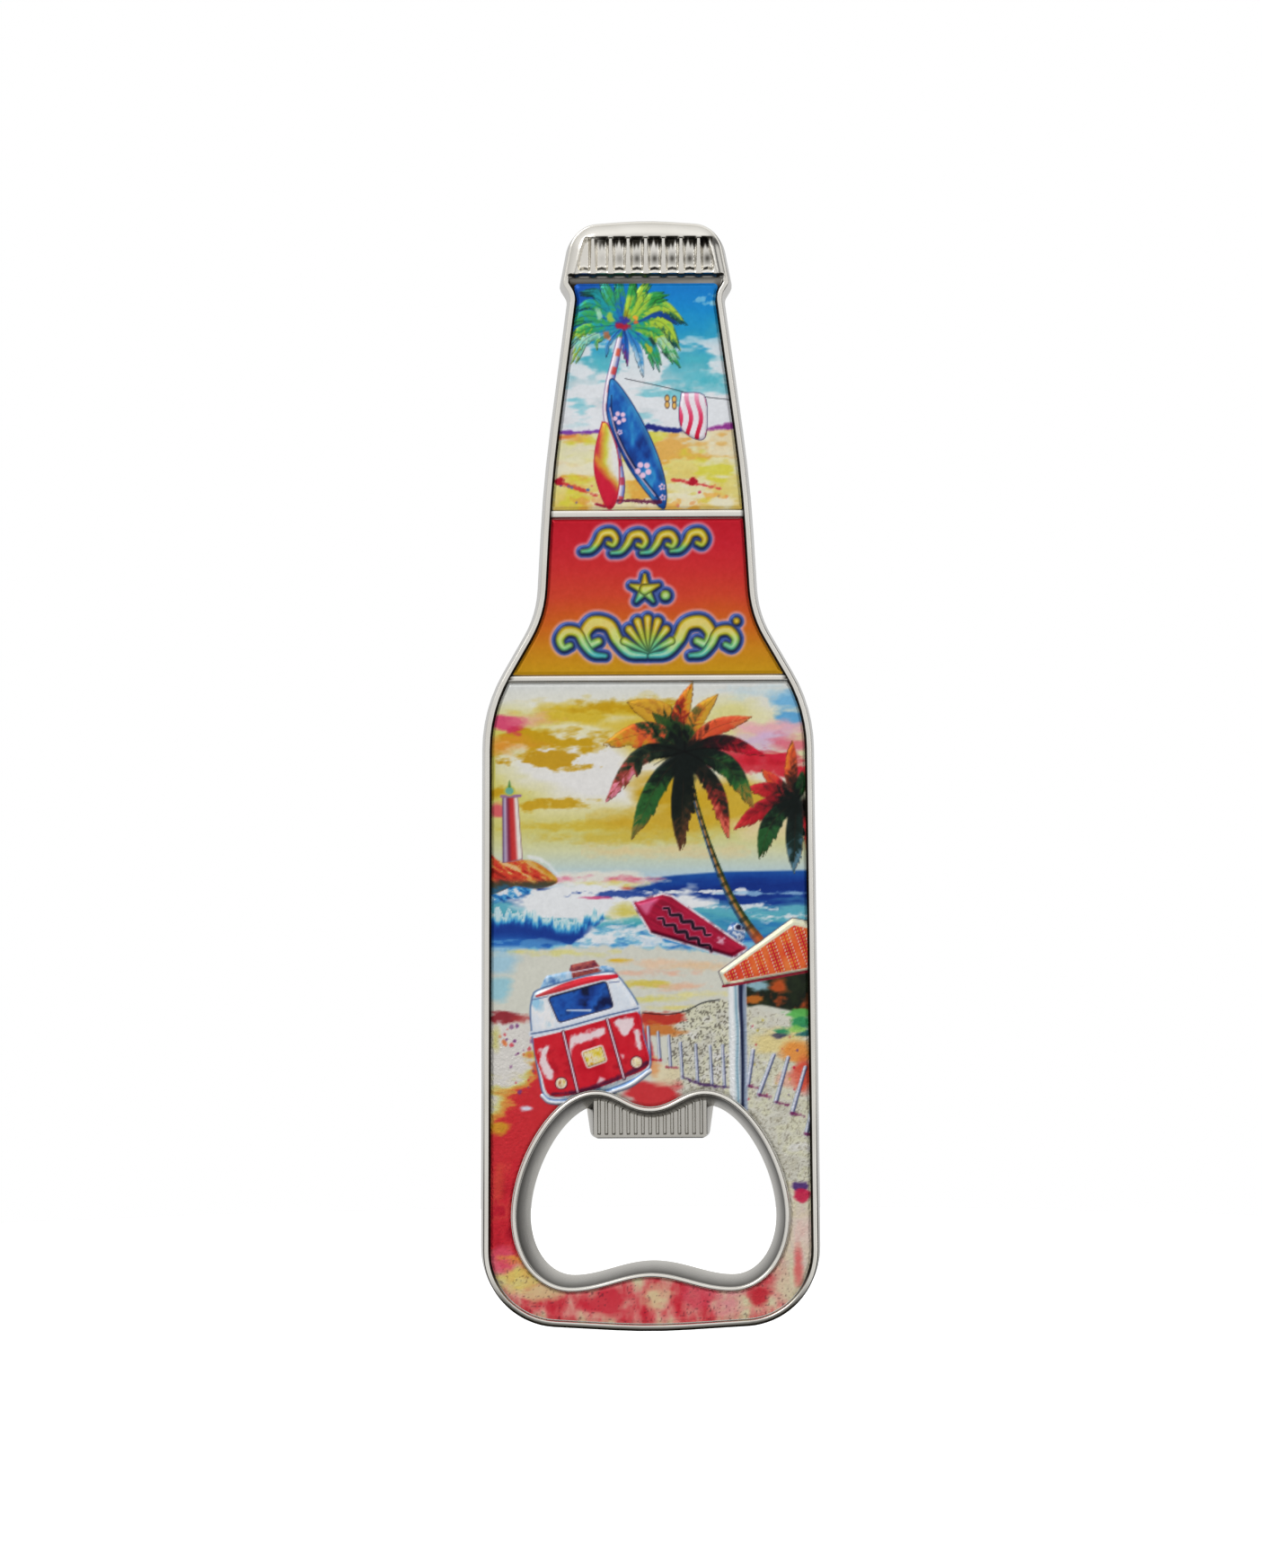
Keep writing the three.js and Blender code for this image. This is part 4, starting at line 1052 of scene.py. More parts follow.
def paint_palms(panel):
    trunk = panel.stroke([(4.6, 1), (5.2, -2.6), (6.6, -7.4), (8.6, -12.6), (10.6, -16.2), (12.4, -18.6)],
        [0.4, 0.5, 0.6, 0.8, 1, 1.15])
    trunk.paint(graded(np.clip(0.5 + 0.5 * trunk.across, 0, 1), [(34, 60, 30), (60, 70, 30), (196, 130, 60),
        (60, 90, 110), (40, 80, 130)]), 0.12)
    rings = np.sin(trunk.along * 120) + 1.2 * (noise(trunk.x, trunk.z, 0.7, 372) - 0.5)
    trunk.paint((20, 30, 24), 0.12, 0.55 * smoothstep(0.1, 0.9, rings))
    trunk.paint((210, 80, 40), 0.15, 0.7 * smoothstep(0.86, 1, trunk.along))
    trunk.raised(0.10, 0.3)
    far = panel.stroke([(17.3, -3), (17.6, -7), (18.4, -11)], [0.5, 0.5])
    far.paint((190, 70, 50), 0.2)
    red = [(176, 28, 40), (206, 50, 52)]
    main, second = (4.1, 2.7), (16.4, -2.8)
    gold, flame, blush = (206, 156, 44), (214, 84, 46), (224, 130, 150)
    band = panel.polygon([(7, 3.2), (11, 2.9), (14.5, 1.6), (18.6, 0.8), (18.6, -0.6), (13, 0.3), (9.5, 0.6)])
    band.ragged(0.3, 1, 94).paint(band.tones([(176, 22, 38), (204, 36, 52), (206, 60, 74)], 1.6, 93), 0.4,
        0.9)
    leaves = [
        (second, (15.9, 0.4), (16.1, 3.7), 1.2, [DARK, (90, 40, 30)], [flame, ORANGE], 70, 0.1),
        (second, (17.5, -0.2), (18.6, 2), 1.2, [DARK, LEAF], red, 71, 0.1),
        (second, (14.6, -1.3), (12.7, 0.6), 1.3, [DARK, (80, 40, 34)], red + [flame], 72, 0.1),
        (second, (13.9, -1.8), (11, -1.4), 1.5, [DARK, (110, 30, 34)], red, 73, 0.15),
        (second, (13.2, -3.5), (9.6, -5.9), 1.6, [DARK, (130, 24, 34)], red, 74, 0.15),
        (second, (17.9, -5.5), (18.4, -9.6), 1.3, [DARK, (120, 30, 30)], red, 75, 0.1),
        (second, (13.8, -5.2), (12.3, -9.2), 1.8, [DARK, (24, 44, 30)], [(40, 90, 46), LEAF], 76, 0.25),
        (second, (16.3, -6.4), (16.2, -10.9), 1.7, [DARK, (20, 34, 30)], [(24, 44, 40), (90, 130, 150)], 77,
         0.2),
        (main, (1.5, 6.6), (-2.2, 8.2), 2.5, [DARK, (34, 60, 30), (180, 120, 40)], [gold, gold], 80, 0.06),
        (main, (1.9, 5.6), (0.5, 7), 1.3, [DARK, (26, 50, 28)], [(40, 76, 34), (60, 84, 36)], 86, 0.05),
        (main, (3.6, 6.6), (4.9, 10.3), 1.6, [DARK, (34, 60, 30), (150, 40, 30)], [(214, 120, 36), gold], 81,
         0.06),
        (main, (5.4, 6.4), (7.7, 9), 1.6, [DARK, (44, 76, 36), (190, 110, 40)], [gold, (216, 160, 60)], 82,
         0.06),
        (main, (7.2, 5.2), (11.5, 6.5), 1.5, [(60, 30, 26), flame], [(216, 80, 50), (222, 116, 66)], 83,
         0.08),
        (main, (8.4, 3.7), (12.9, 2.2), 1.4, [DARK, (40, 16, 22), (90, 20, 30)], [(166, 26, 40), CRIMSON],
         84, 0.08),
        (main, (0.2, 4.7), (-4.9, 3.6), 2.2, [DARK, (34, 60, 32), (204, 80, 46)], [ORANGE, gold], 85, 0.3),
        (main, (-0.5, 2.3), (-4.7, -2.7), 1.7, [DARK, (18, 30, 24), (40, 54, 36)], [(150, 60, 50), blush],
         87, 0.25),
        (main, (1.2, -0.6), (-1.9, -7), 1.9, [DARK, (18, 36, 24), (40, 86, 40)],
         [(40, 96, 44), (120, 110, 50)], 88, 0.2),
        (main, (8.6, 1.2), (11.7, -3.5), 1.9, [DARK, (18, 34, 26), (34, 64, 36)],
         [(44, 100, 46), (150, 120, 50)], 89, 0.2),
        (main, (7.3, -1.4), (8.9, -7), 1.6, [DARK, (20, 26, 22), (40, 34, 28)],
         [(150, 44, 40), (216, 100, 80)], 90, 0.15),
        (main, (3.8, -2.6), (3.5, -8.3), 2.1, [DARK, (14, 22, 18)], [(24, 30, 22), (90, 56, 36)], 91, 0.3),
    ]
    for root, bend, tip, width, near, tips, seed, fray in leaves:
        frond(panel, root, bend, tip, width, near, tips, seed, ink=(70, 36, 22), fray=fray)
    for x, z, r in ((4.2, 2.2, 2), (4, 0.6, 1.5), (16.4, -3.4, 1.5)):
        panel.ellipse(x, z, r, 0.8 * r).ragged(0.4, 1, 95).paint(DARK, 0.8, 0.9)
    for x, z in ((0.6, 1.2), (-0.6, 3.4), (8.4, 3), (8.2, 0), (4, 6.4)):
        panel.stroke([main, (0.5 * (main[0] + x), 0.5 * (main[1] + z) + 0.2), (x, z)], [0.25, 0.05]).paint(
            (8, 10, 10), 0.15, 0.6)


def paint_van(panel):
    """A generic camper van with luggage on its roof, leaning to one side."""
    case = panel.polygon([(-8.9, -22.4), (-8.6, -21.2), (-6.2, -20.7), (-5.5, -21.6)], 0.2)
    case.paint(case.tones([(130, 40, 50), (176, 90, 80), (110, 40, 60)], 0.6, 380), 0.12).raised(0.12, 0.3)
    panel.stroke([(-8.8, -21.9), (-5.7, -21.3)], [0.14], smooth=False).paint((216, 206, 216), 0.1, 0.9)
    bags = panel.polygon([(-12, -23.6), (-11.4, -22.4), (-8.9, -21.9), (-8.7, -22.9)], 0.2)
    bags.paint(bags.tones([(50, 90, 160), (150, 190, 220), (216, 220, 232), (70, 130, 190)], 1.3, 381), 0.12)
    bags.raised(0.12, 0.3)
    roll = panel.ellipse(-4.8, -21.5, 0.9, 0.35, -8)
    roll.paint(roll.tones([(60, 130, 190), (220, 226, 236)], 0.4, 382), 0.12).raised(0.1, 0.2)
    shell = panel.blob([(-13.1, -24.6), (-12.4, -23.8), (-8.5, -22.6), (-4.6, -21.8), (-3.4, -22.4),
        (-1.6, -24.9), (-1.2, -26.2), (-0.6, -29.2), (0, -32.5), (-3, -34.3), (-7.4, -35.7), (-11.4, -35.9),
        (-12.4, -33.2), (-13.1, -29), (-13.3, -26.2)])
    shell.raised(0.26, 0.7)
    shell.paint(shell.tones([(228, 228, 232), (214, 222, 232), (232, 230, 230), (150, 196, 222)], 1.4, 383,
        (1, 1.8)), 0.12)
    shell.line(0.18).paint((60, 96, 150), 0.14, 0.8)
    stripe = panel.stroke([(-12.6, -24.5), (-10.5, -23.8), (-7.2, -22.8), (-3.7, -22.3)],
        [0.25, 0.8, 0.75, 0.45])
    stripe.paint(graded(np.clip(stripe.along, 0, 1), [(170, 60, 60), (200, 40, 54), (206, 30, 50)]), 0.14)
    panel.stroke([(-13.1, -24.9), (-10.4, -24.3), (-6.6, -23.3), (-3.4, -22.9)],
        [0.12]).paint((70, 90, 140), 0.1, 0.8)
    pane = panel.polygon([(-10.8, -24.9), (-5.1, -23.35), (-4.5, -25.5), (-9.9, -27)], 0.3)
    pane.wider(0.34).paint((214, 216, 224), 0.12)
    pane.wider(0.16).paint((50, 54, 80), 0.1)
    pane.paint(pane.tones([(14, 24, 70), (34, 90, 176), (24, 60, 140), (14, 18, 46), (30, 70, 150)], 2.4,
        384), 0.1)
    panel.stroke([(-9.2, -26.1), (-6.6, -26.1)], [0.14, 0.22], smooth=False).paint((214, 226, 238), 0.12, 0.9)
    pane.wider(0.2).sunk(0.14, 0.2)

    body = panel.blob([(-13, -29.2), (-9.6, -28.4), (-4.8, -27.1), (-1.4, -26.3), (-0.7, -29.2),
        (-0.15, -32.2), (-3, -33.7), (-7.4, -35.2), (-11.1, -35.6), (-12.1, -33.2), (-12.8, -31)])
    body.paint(body.tones([(190, 16, 36), (204, 26, 44), (206, 34, 48), (170, 14, 34)], 1.8, 385), 0.12)
    shine = [((-12.2, -30.2), (-11.2, -30), (-11.4, -31.6), (-10.6, -33.6), (-11.5, -33.6), (-12.2, -31.8)),
             ((-9.1, -29.2), (-5.2, -28), (-5.4, -29), (-7.4, -29.6), (-8.6, -30), (-8.9, -31.2)),
             ((-4.1, -27.4), (-1.9, -26.9), (-2, -28), (-2.7, -28.9), (-3.5, -28.4)),
             ((-1.9, -28.5), (-1.3, -28.2), (-0.9, -30), (-1.3, -30.6))]
    for k, points in enumerate(shine):
        panel.blob(points).ragged(0.22, 0.7, 390 + k).paint((232, 224, 226), 0.3, 0.92)
    for points in (((-5.6, -33.5), (-5, -33.8), (-5.9, -34.3)), ((-3.3, -31), (-2.9, -31.1), (-3, -31.5))):
        panel.blob(points).paint((230, 200, 206), 0.25, 0.9)
    panel.stroke([(-11, -35.4), (-7.4, -35), (-3, -33.4), (-0.3, -32)], [0.2, 0.5, 0.4, 0.5]).ragged(
        0.1, 0.4, 386).paint((50, 24, 60), 0.3, 0.75)
    for points in (((-9.65, -28.5), (-8.05, -35.2)), ((-4.75, -27.1), (-2.9, -33.7))):
        panel.stroke(points, [0.44], smooth=False).paint((80, 20, 40), 0.14, 0.8)
        panel.stroke(points, [0.17], smooth=False).paint((226, 206, 220), 0.1).sunk(0.08, 0.1)
    belt = [(-13.2, -28.7), (-9.6, -28), (-4.8, -26.7), (-1.3, -25.9)]
    panel.stroke(belt, [0.6, 0.5, 0.5, 0.7]).paint((206, 214, 226), 0.14)
    panel.stroke(belt, [0.16]).paint((54, 80, 130), 0.1, 0.85)
    plate = panel.polygon([(-7.3, -30.9), (-5.5, -30.3), (-5.1, -31.6), (-6.8, -32.2)], 0.1)
    plate.wider(0.25).paint((224, 206, 196), 0.12).raised(0.34, 0.2)
    plate.wider(0.06).paint((150, 100, 30), 0.08)
    plate.paint(plate.tones([(214, 186, 40), (224, 206, 110), (226, 216, 190), (206, 150, 30)], 0.5, 387),
        0.1)
    for x, z in ((-9.9, -34.2), (-1.5, -31.9)):
        lamp = panel.ellipse(x, z, 0.5, 0.5)
        lamp.wider(0.22).paint((100, 30, 40), 0.1)
        lamp.wider(0.1).paint((226, 206, 196), 0.1).raised(0.34, 0.3)
        lamp.paint(lamp.tones([(214, 190, 110), (236, 226, 200), (176, 120, 70)], 0.4, 388), 0.1)
    for points in (((-12, -35.6), (-11, -36.3), (-8, -36.2), (-4, -35.2)),
                   ((-4.4, -35.2), (-2.2, -34.4), (-0.1, -32.9))):
        rail = panel.stroke(points, [0.5, 0.7, 0.6])
        rail.paint(graded(np.clip(0.5 + 0.5 * rail.across, 0, 1), [(60, 110, 180), (226, 230, 236),
            (224, 226, 232), (90, 110, 150)]), 0.12)
        rail.raised(0.26, 0.3)


def paint_boards(panel):
    """Blank sign boards: an arrow on the left, a pointed board on the right, both on a tall white post."""
    post = panel.polygon([(8.75, -21), (10.75, -21), (10.9, -40), (8.9, -40)])
    side = (post.x - 8.75 + 0.008 * (post.z + 21)) / 2
    streak = 0.14 * (noise(post.x * 2, post.z / 6, 0.6, 400) - 0.5)
    post.paint(graded(np.clip(side + streak, 0, 1), [(206, 212, 216), (230, 232, 232), (226, 228, 230),
        (190, 206, 212), (120, 160, 180), (206, 214, 220), (30, 40, 70), (24, 30, 60), (150, 166, 190),
        (176, 186, 206)]), 0.14)
    post.raised(0.24, 0.4)
    clamp = panel.ellipse(9.7, -17.6, 1, 1.2, 20)
    clamp.paint(clamp.tones([(40, 60, 110), (214, 220, 230), (60, 100, 160), (226, 230, 236), (30, 30, 60)],
        1, 401), 0.15).raised(0.2, 0.5)

    arrow = panel.polygon([(-1.6, -14.2), (1.5, -13.35), (2.5, -13.6), (10.6, -19.3), (9.2, -20.1),
        (0.3, -17.4)], 0.08)
    arrow.wider(0.25).paint(arrow.tones([(206, 214, 222), (226, 220, 226), (120, 60, 90)], 0.8, 402), 0.14)
    grain = noise((arrow.x * 0.57 - arrow.z * 0.4) * 0.3, (arrow.x * 0.57 + arrow.z) * 1.5, 0.7, 403)
    arrow.paint(graded(np.clip(grain + 0.25 * (noise(arrow.x, arrow.z, 1.6, 404) - 0.5), 0, 1),
        [(128, 12, 44), (160, 16, 52), (172, 22, 58), (140, 14, 46)]), 0.14)
    panel.blob([(-1.3, -14.3), (0.9, -13.7), (0.3, -14.5), (-0.3, -15.4)]).paint((222, 120, 160), 0.5, 0.8)
    for lift in (0, 1.25):
        wavy = []
        for k in range(15):
            u, v = 0.5 * k, 0.28 * math.sin(2.1 * k)
            wavy.append((1 + 0.86 * u + 0.5 * v + 0.5 * lift, -15.9 - 0.5 * u + 0.86 * v + 0.9 * lift))
        panel.stroke(wavy[:15 - int(2 * lift)],
            [0.25, 0.4, 0.4, 0.25]).wider(0.1).paint((206, 130, 160), 0.12, 0.7)
        panel.stroke(wavy[:15 - int(2 * lift)], [0.25, 0.4, 0.4, 0.25]).paint((26, 14, 30), 0.12)
    panel.ellipse(8, -18.4, 0.5, 0.35).ragged(0.2, 0.4, 5).paint((226, 190, 206), 0.25, 0.8)
    panel.stroke([(0.3, -17.4), (9.2, -20.15)], [0.3], smooth=False).paint((60, 20, 50), 0.2, 0.6)
    arrow.raised(0.26, 0.4)

    board = panel.polygon([(7.8, -21.9), (16, -16), (18.9, -16.6), (18.9, -21.6), (8.4, -23.4)], 0.1)
    board.paint(board.tones([(222, 216, 196), (226, 222, 190), (206, 212, 196)], 0.9, 410),
        0.14).raised(0.26, 0.4)
    board.line(0.12).paint((84, 70, 84), 0.1, 0.8)
    inner = panel.polygon([(8.3, -22.2), (16.1, -16.8), (18.9, -17.4), (18.9, -21.2), (8.8, -22.9)], 0.05)
    slats = np.sin((inner.x + 0.35 * inner.z) * 3.4)
    inner.paint(graded(np.clip(cloudy(inner.x, inner.z, 1.4, 411) * 0.6 + 0.5 * smoothstep(-0.4, 0.9, slats),
        0, 1), [(190, 26, 44), (206, 44, 44), (222, 90, 44), (226, 120, 60)]), 0.14)
    inner.paint((232, 218, 190), 0.14, 0.85 * smoothstep(0.22, 0.06, np.abs(slats - 0.1)))
    inner.paint((226, 196, 70), 0.14, 0.75 * smoothstep(0.14, 0.04, np.abs(slats + 0.75)))
    inner.raised(0.3, 0.3)
    panel.stroke([(8.2, -23.5), (13, -22.7), (18.6, -21.7)], [0.3]).paint((150, 30, 50), 0.12)


def picket(panel, foot, head, width=0.48):
    board = panel.stroke([foot, head], [width, width * 0.9], smooth=False)
    board.paint(graded(np.clip(0.5 + 0.5 * board.across, 0, 1), [(130, 150, 176), (206, 210, 220),
        (196, 196, 210), (96, 110, 150), (50, 60, 100)]), 0.14)
    board.raised(0.16, 0.25)


def paint_scene():
    panel = Panel(-18, 18.6, -61.2, 10.6, 0.125)
    paint_sky(panel)
    paint_sea(panel)
    paint_beach(panel)
    paint_land(panel)
    paint_palms(panel)
    for x, top, foot in ((-0.2, -28, -31.4), (0.9, -28.6, -31.5), (2.1, -29, -32.4), (3.4, -29.8, -33.7),
                         (5.1, -30, -34.2), (6.7, -30.2, -34.4), (8.1, -30.1, -34.7)):
        picket(panel, (x + 0.2, foot), (x, top), 0.36)
    panel.stroke([(-0.4, -31.6), (1.2, -31.7)], [0.2]).ragged(0.1, 0.3, 7).paint((180, 20, 50), 0.2, 0.8)
    panel.stroke([(1.9, -32.5), (3, -32.6)], [0.25]).ragged(0.1, 0.3, 8).paint((150, 30, 60), 0.2, 0.8)
    panel.stroke([(3.6, -33.5), (5.6, -34.4), (8.9, -34.8)], [0.15, 0.35, 0.2]).ragged(0.12, 0.4, 9).paint(
        (70, 40, 90), 0.2, 0.9)
    for foot, head in (((10.9, -34.6), (11.5, -30.7)), ((12.1, -35.6), (13.8, -31.2)),
                       ((14, -36.4), (15.4, -31.5)), ((15.8, -37.7), (17.3, -32.6)),
                       ((17.4, -40), (18.4, -35.6))):
        picket(panel, foot, head)
        panel.stroke([foot, (foot[0] + 1.4, foot[1] - 0.35)], [0.35, 0.2]).ragged(0.12, 0.4, 11).paint(
            (120, 40, 90), 0.2, 0.9)
    paint_van(panel)
    paint_boards(panel)
    low = smoothstep(-26, -28, panel.z) * smoothstep(2.2, 3.4, panel.x)
    panel.glitter = np.maximum(low, smoothstep(-27, -29, panel.z) * smoothstep(-13.2, -14, panel.x))
    panel.settle()
    return panel


# ---------------------------------------------------------------- foils

def round_max(a, b, radius=0.2):
    """Cuts one shape with another, with a rounded corner between them."""
    corner = np.hypot(np.maximum(a + radius, 0), np.maximum(b + radius, 0)) - radius
    return np.where((a > -radius) & (b > -radius), corner, np.maximum(a, b))


def edge_loops(faces):
    """The closed loops of vertices round the open edges of some faces."""
    edges = {(a, b) for face in faces for a, b in zip(face, face[1:] + face[:1])}
    after = {a: b for a, b in edges if (b, a) not in edges}
    loops = []
    while after:
        loop = [next(iter(sorted(after)[:1]))]
        while loop[-1] in after:
            loop.append(after.pop(loop[-1]))
        loops.append(loop[:-1])
    return loops


def make_foil(name, panel, high_z, low_z, mouth=False):
    """One foil: the painted relief in front, a flat back, and the sides between them."""
    border = panel.polygon(even(bottle, 1.0), margin=9).depth + RIM_WIDTH
    top_radius = 0.9 if high_z == NECK_TOP_Z else 0.2
    depth = round_max(round_max(border, panel.z - high_z, top_radius), low_z - panel.z) + FIT_GAP
    if mouth:
        hole = panel.polygon(even(lip, 0.6), margin=3)
        depth[hole.window] = np.maximum(depth[hole.window], FIT_GAP - hole.depth)
    # grid points near the foil's edge move onto it, and those outside are left out
    reach = 0.55 * panel.spacing
    slope_z, slope_x = np.gradient(depth, panel.spacing)
    steep = slope_x ** 2 + slope_z ** 2 + 1e-9
    snap = np.where(np.abs(depth) < reach, depth / steep, 0)
    x, z = panel.x - snap * slope_x, panel.z - snap * slope_z
    used = depth < reach
    height = FOIL_FRONT + panel.relief - 0.14 * (1 - smoothstep(0, 0.4, -depth))

    quads = np.array(grid_faces(*x.shape))
    inside = used.ravel()[quads]
    faces = quads[inside.all(axis=1)].tolist()
    three = inside.sum(axis=1) == 3
    faces += [quad[keep].tolist() for quad, keep in zip(quads[three], inside[three])]
    number = np.cumsum(used.ravel()) - 1
    faces = [[int(number[i]) for i in face] for face in faces]
    front = np.stack([x, -height, z], axis=-1)[used]
    count = len(front)
    corners, outlines = [], []
    for loop in edge_loops(faces):
        start = count + len(corners)
        for k, (a, b) in enumerate(zip(loop, loop[1:] + loop[:1])):
            faces.append([b, a, start + k, start + (k + 1) % len(loop)])
        ring = [(front[a][0], -FOIL_BACK, front[a][2]) for a in loop]
        outlines.append([Vector(corner) for corner in ring])
        corners += ring
    for a, b, c in tessellate_polygon(outlines):
        (xa, _, za), (xb, _, zb), (xc, _, zc) = corners[a], corners[b], corners[c]
        turn = (xb - xa) * (zc - za) - (xc - xa) * (zb - za)
        faces.append([count + i for i in ((a, b, c) if turn < 0 else (c, b, a))])
    foil = make_object(name, np.vstack([front, np.array(corners)]), faces)

    colour = np.vstack([panel.colour[used], np.full((len(corners), 3), 205.0)]) / 255
    linear = np.where(colour < 0.04, colour / 12.92, ((colour + 0.055) / 1.055) ** 2.4)
    ink = foil.data.color_attributes.new("print", "FLOAT_COLOR", "POINT")
    ink.data.foreach_set("color", np.hstack([linear, np.ones((len(linear), 1))]).ravel())
    frost = foil.data.attributes.new("frost", "FLOAT", "POINT")
    frost.data.foreach_set("value", np.concatenate([panel.glitter[used], np.zeros(len(corners))]))
    shade(foil, 50)
    return foil


# ---------------------------------------------------------------- materials

BUMP_DEPTH = 0.0002


def new_material(name):
    material = bpy.data.materials.new(name)
    material.use_nodes = True
    tree = material.node_tree
    tree.nodes.clear()
    output = tree.nodes.new("ShaderNodeOutputMaterial")
    shader = tree.nodes.new("ShaderNodeBsdfPrincipled")
    tree.links.new(shader.outputs["BSDF"], output.inputs["Surface"])
    return material, tree, shader


def set_inputs(node, values):
    for name, value in values.items():
        node.inputs[name].default_value = value


def noise_node(tree, scale, detail, stretch=None):
    where = tree.nodes.new("ShaderNodeTexCoord").outputs["Object"]
    if stretch:
        squeeze = tree.nodes.new("ShaderNodeMapping")
        squeeze.inputs["Scale"].default_value = stretch
        tree.links.new(where, squeeze.inputs["Vector"])
        where = squeeze.outputs["Vector"]
    node = tree.nodes.new("ShaderNodeTexNoise")
    set_inputs(node, {"Scale": scale, "Detail": detail})
    tree.links.new(where, node.inputs["Vector"])
    return node.outputs["Fac"]


def mapped(tree, value, low, high, from_low=0.3, from_high=0.7):
    node = tree.nodes.new("ShaderNodeMapRange")
    set_inputs(node, {"From Min": from_low, "From Max": from_high, "To Min": low, "To Max": high})
    tree.links.new(value, node.inputs["Value"])
    return node.outputs["Result"]


def blended(tree, value, low_colour, high_colour):
    node = tree.nodes.new("ShaderNodeMix")
    node.data_type = "RGBA"
    set_inputs(node, {"A": (*low_colour, 1), "B": (*high_colour, 1)})
    tree.links.new(value, node.inputs["Factor"])
    return node.outputs["Result"]


def attribute(tree, name, output):
    node = tree.nodes.new("ShaderNodeAttribute")
    node.attribute_name = name
    return node.outputs[output]


def calculated(tree, operation, one, other):
    node = tree.nodes.new("ShaderNodeMath")
    node.operation = operation
    tree.links.new(one, node.inputs[0])
    tree.links.new(other, node.inputs[1])
    return node.outputs[0]


def multiplied(tree, one, other):
    node = tree.nodes.new("ShaderNodeMix")
    node.data_type = "RGBA"
    node.blend_type = "MULTIPLY"
    node.inputs["Factor"].default_value = 1.0
    tree.links.new(one, node.inputs["A"])
    tree.links.new(other, node.inputs["B"])
    return node.outputs["Result"]


def bump(tree, shader, value, strength):
    node = tree.nodes.new("ShaderNodeBump")
    set_inputs(node, {"Strength": strength, "Distance": BUMP_DEPTH})
    tree.links.new(value, node.inputs["Height"])
    tree.links.new(node.outputs["Normal"], shader.inputs["Normal"])


def nickel():
    """Polished nickel plate: warm, with a faint orange peel, fine polishing marks and a slight haze; the
    casting's painted shade mark darkens its colour and makes it a little rougher.
    """
    material, tree, shader = new_material("nickel_plate")
    haze = noise_node(tree, 260.0, 5.0)
    colour = blended(tree, mapped(tree, haze, 0, 1), (0.70, 0.675, 0.62), (0.76, 0.74, 0.69))
    # painted shade: the casting's dark mark multiplies the plate's colour towards near black
    crease = attribute(tree, "dark", "Fac")
    shadow = blended(tree, crease, (1, 1, 1), (0.035, 0.03, 0.022))
    tree.links.new(multiplied(tree, colour, shadow), shader.inputs["Base Color"])
    shader.inputs["Metallic"].default_value = 1.0
    marks = noise_node(tree, 900.0, 3.0, stretch=(1.0, 1.0, 0.15))
    # the painted shade mark also makes the plate a little rougher
    rougher_in_painted_shade = mapped(tree, crease, 0.0, 0.35, 0.3, 1.0)
    tree.links.new(calculated(tree, "ADD", mapped(tree, marks, 0.13, 0.22), rougher_in_painted_shade),
        shader.inputs["Roughness"])
    bump(tree, shader, noise_node(tree, 1400.0, 2.0), 0.03)
    return material


def printed_foil():
    """Printed aluminium foil under a clear gloss: the ink's colour comes from each piece's own attribute."""
    material, tree, shader = new_material("printed_foil")
    ink = attribute(tree, "print", "Color")
    grain = blended(tree, mapped(tree, noise_node(tree, 2600.0, 2.0), 0, 1), (0.94, 0.94, 0.94), (1, 1, 1))
    tree.links.new(multiplied(tree, ink, grain), shader.inputs["Base Color"])
    set_inputs(shader, {"Metallic": 0.4, "Specular IOR Level": 0.1, "Coat Weight": 0.07,
                        "Coat Roughness": 0.12})
    tree.links.new(mapped(tree, noise_node(tree, 700.0, 3.0), 0.30, 0.42), shader.inputs["Roughness"])
    amount = mapped(tree, attribute(tree, "frost", "Fac"), 0.04, 1.0, 0.0, 1.0)
    bump(tree, shader, calculated(tree, "MULTIPLY", noise_node(tree, 3200.0, 2.0), amount), 0.55)
    return material


def speckled(name, dark, light, scale, roughness, bump_strength):
    """A fine-grained matt material, for the magnets, the glue and the adhesive film."""
    material, tree, shader = new_material(name)
    tree.links.new(blended(tree, mapped(tree, noise_node(tree, scale, 5.0), 0, 1), dark, light),
                   shader.inputs["Base Color"])
    grain = noise_node(tree, 4 * scale, 3.0)
    tree.links.new(mapped(tree, grain, *roughness), shader.inputs["Roughness"])
    bump(tree, shader, grain, bump_strength)
    return material


# ---------------------------------------------------------------- build

def place(piece, node, material):
    """Puts a finished piece in the place of a node of the solid model."""
    piece.data.materials.clear()
    piece.data.materials.append(material)
    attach(piece, "root")
    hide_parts(node)
    piece.name = node + "_body"
    print(piece.name, len(piece.data.polygons), "faces")


def repaint(node, material):
    """Gives a new material to a piece that keeps its solid."""
    for material_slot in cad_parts[node].material_slots:
        material_slot.material = material


place(make_casting(), "casting", nickel())
foil_material = printed_foil()
place(make_foil("neck", paint_neck(), NECK_TOP_Z, NECK_BOTTOM_Z), "neck_foil", foil_material)
place(make_foil("title", paint_title(), TITLE_TOP_Z, TITLE_BOTTOM_Z), "title_foil", foil_material)
place(make_foil("scene", paint_scene(), SCENE_TOP_Z, -80, mouth=True), "scene_foil", foil_material)

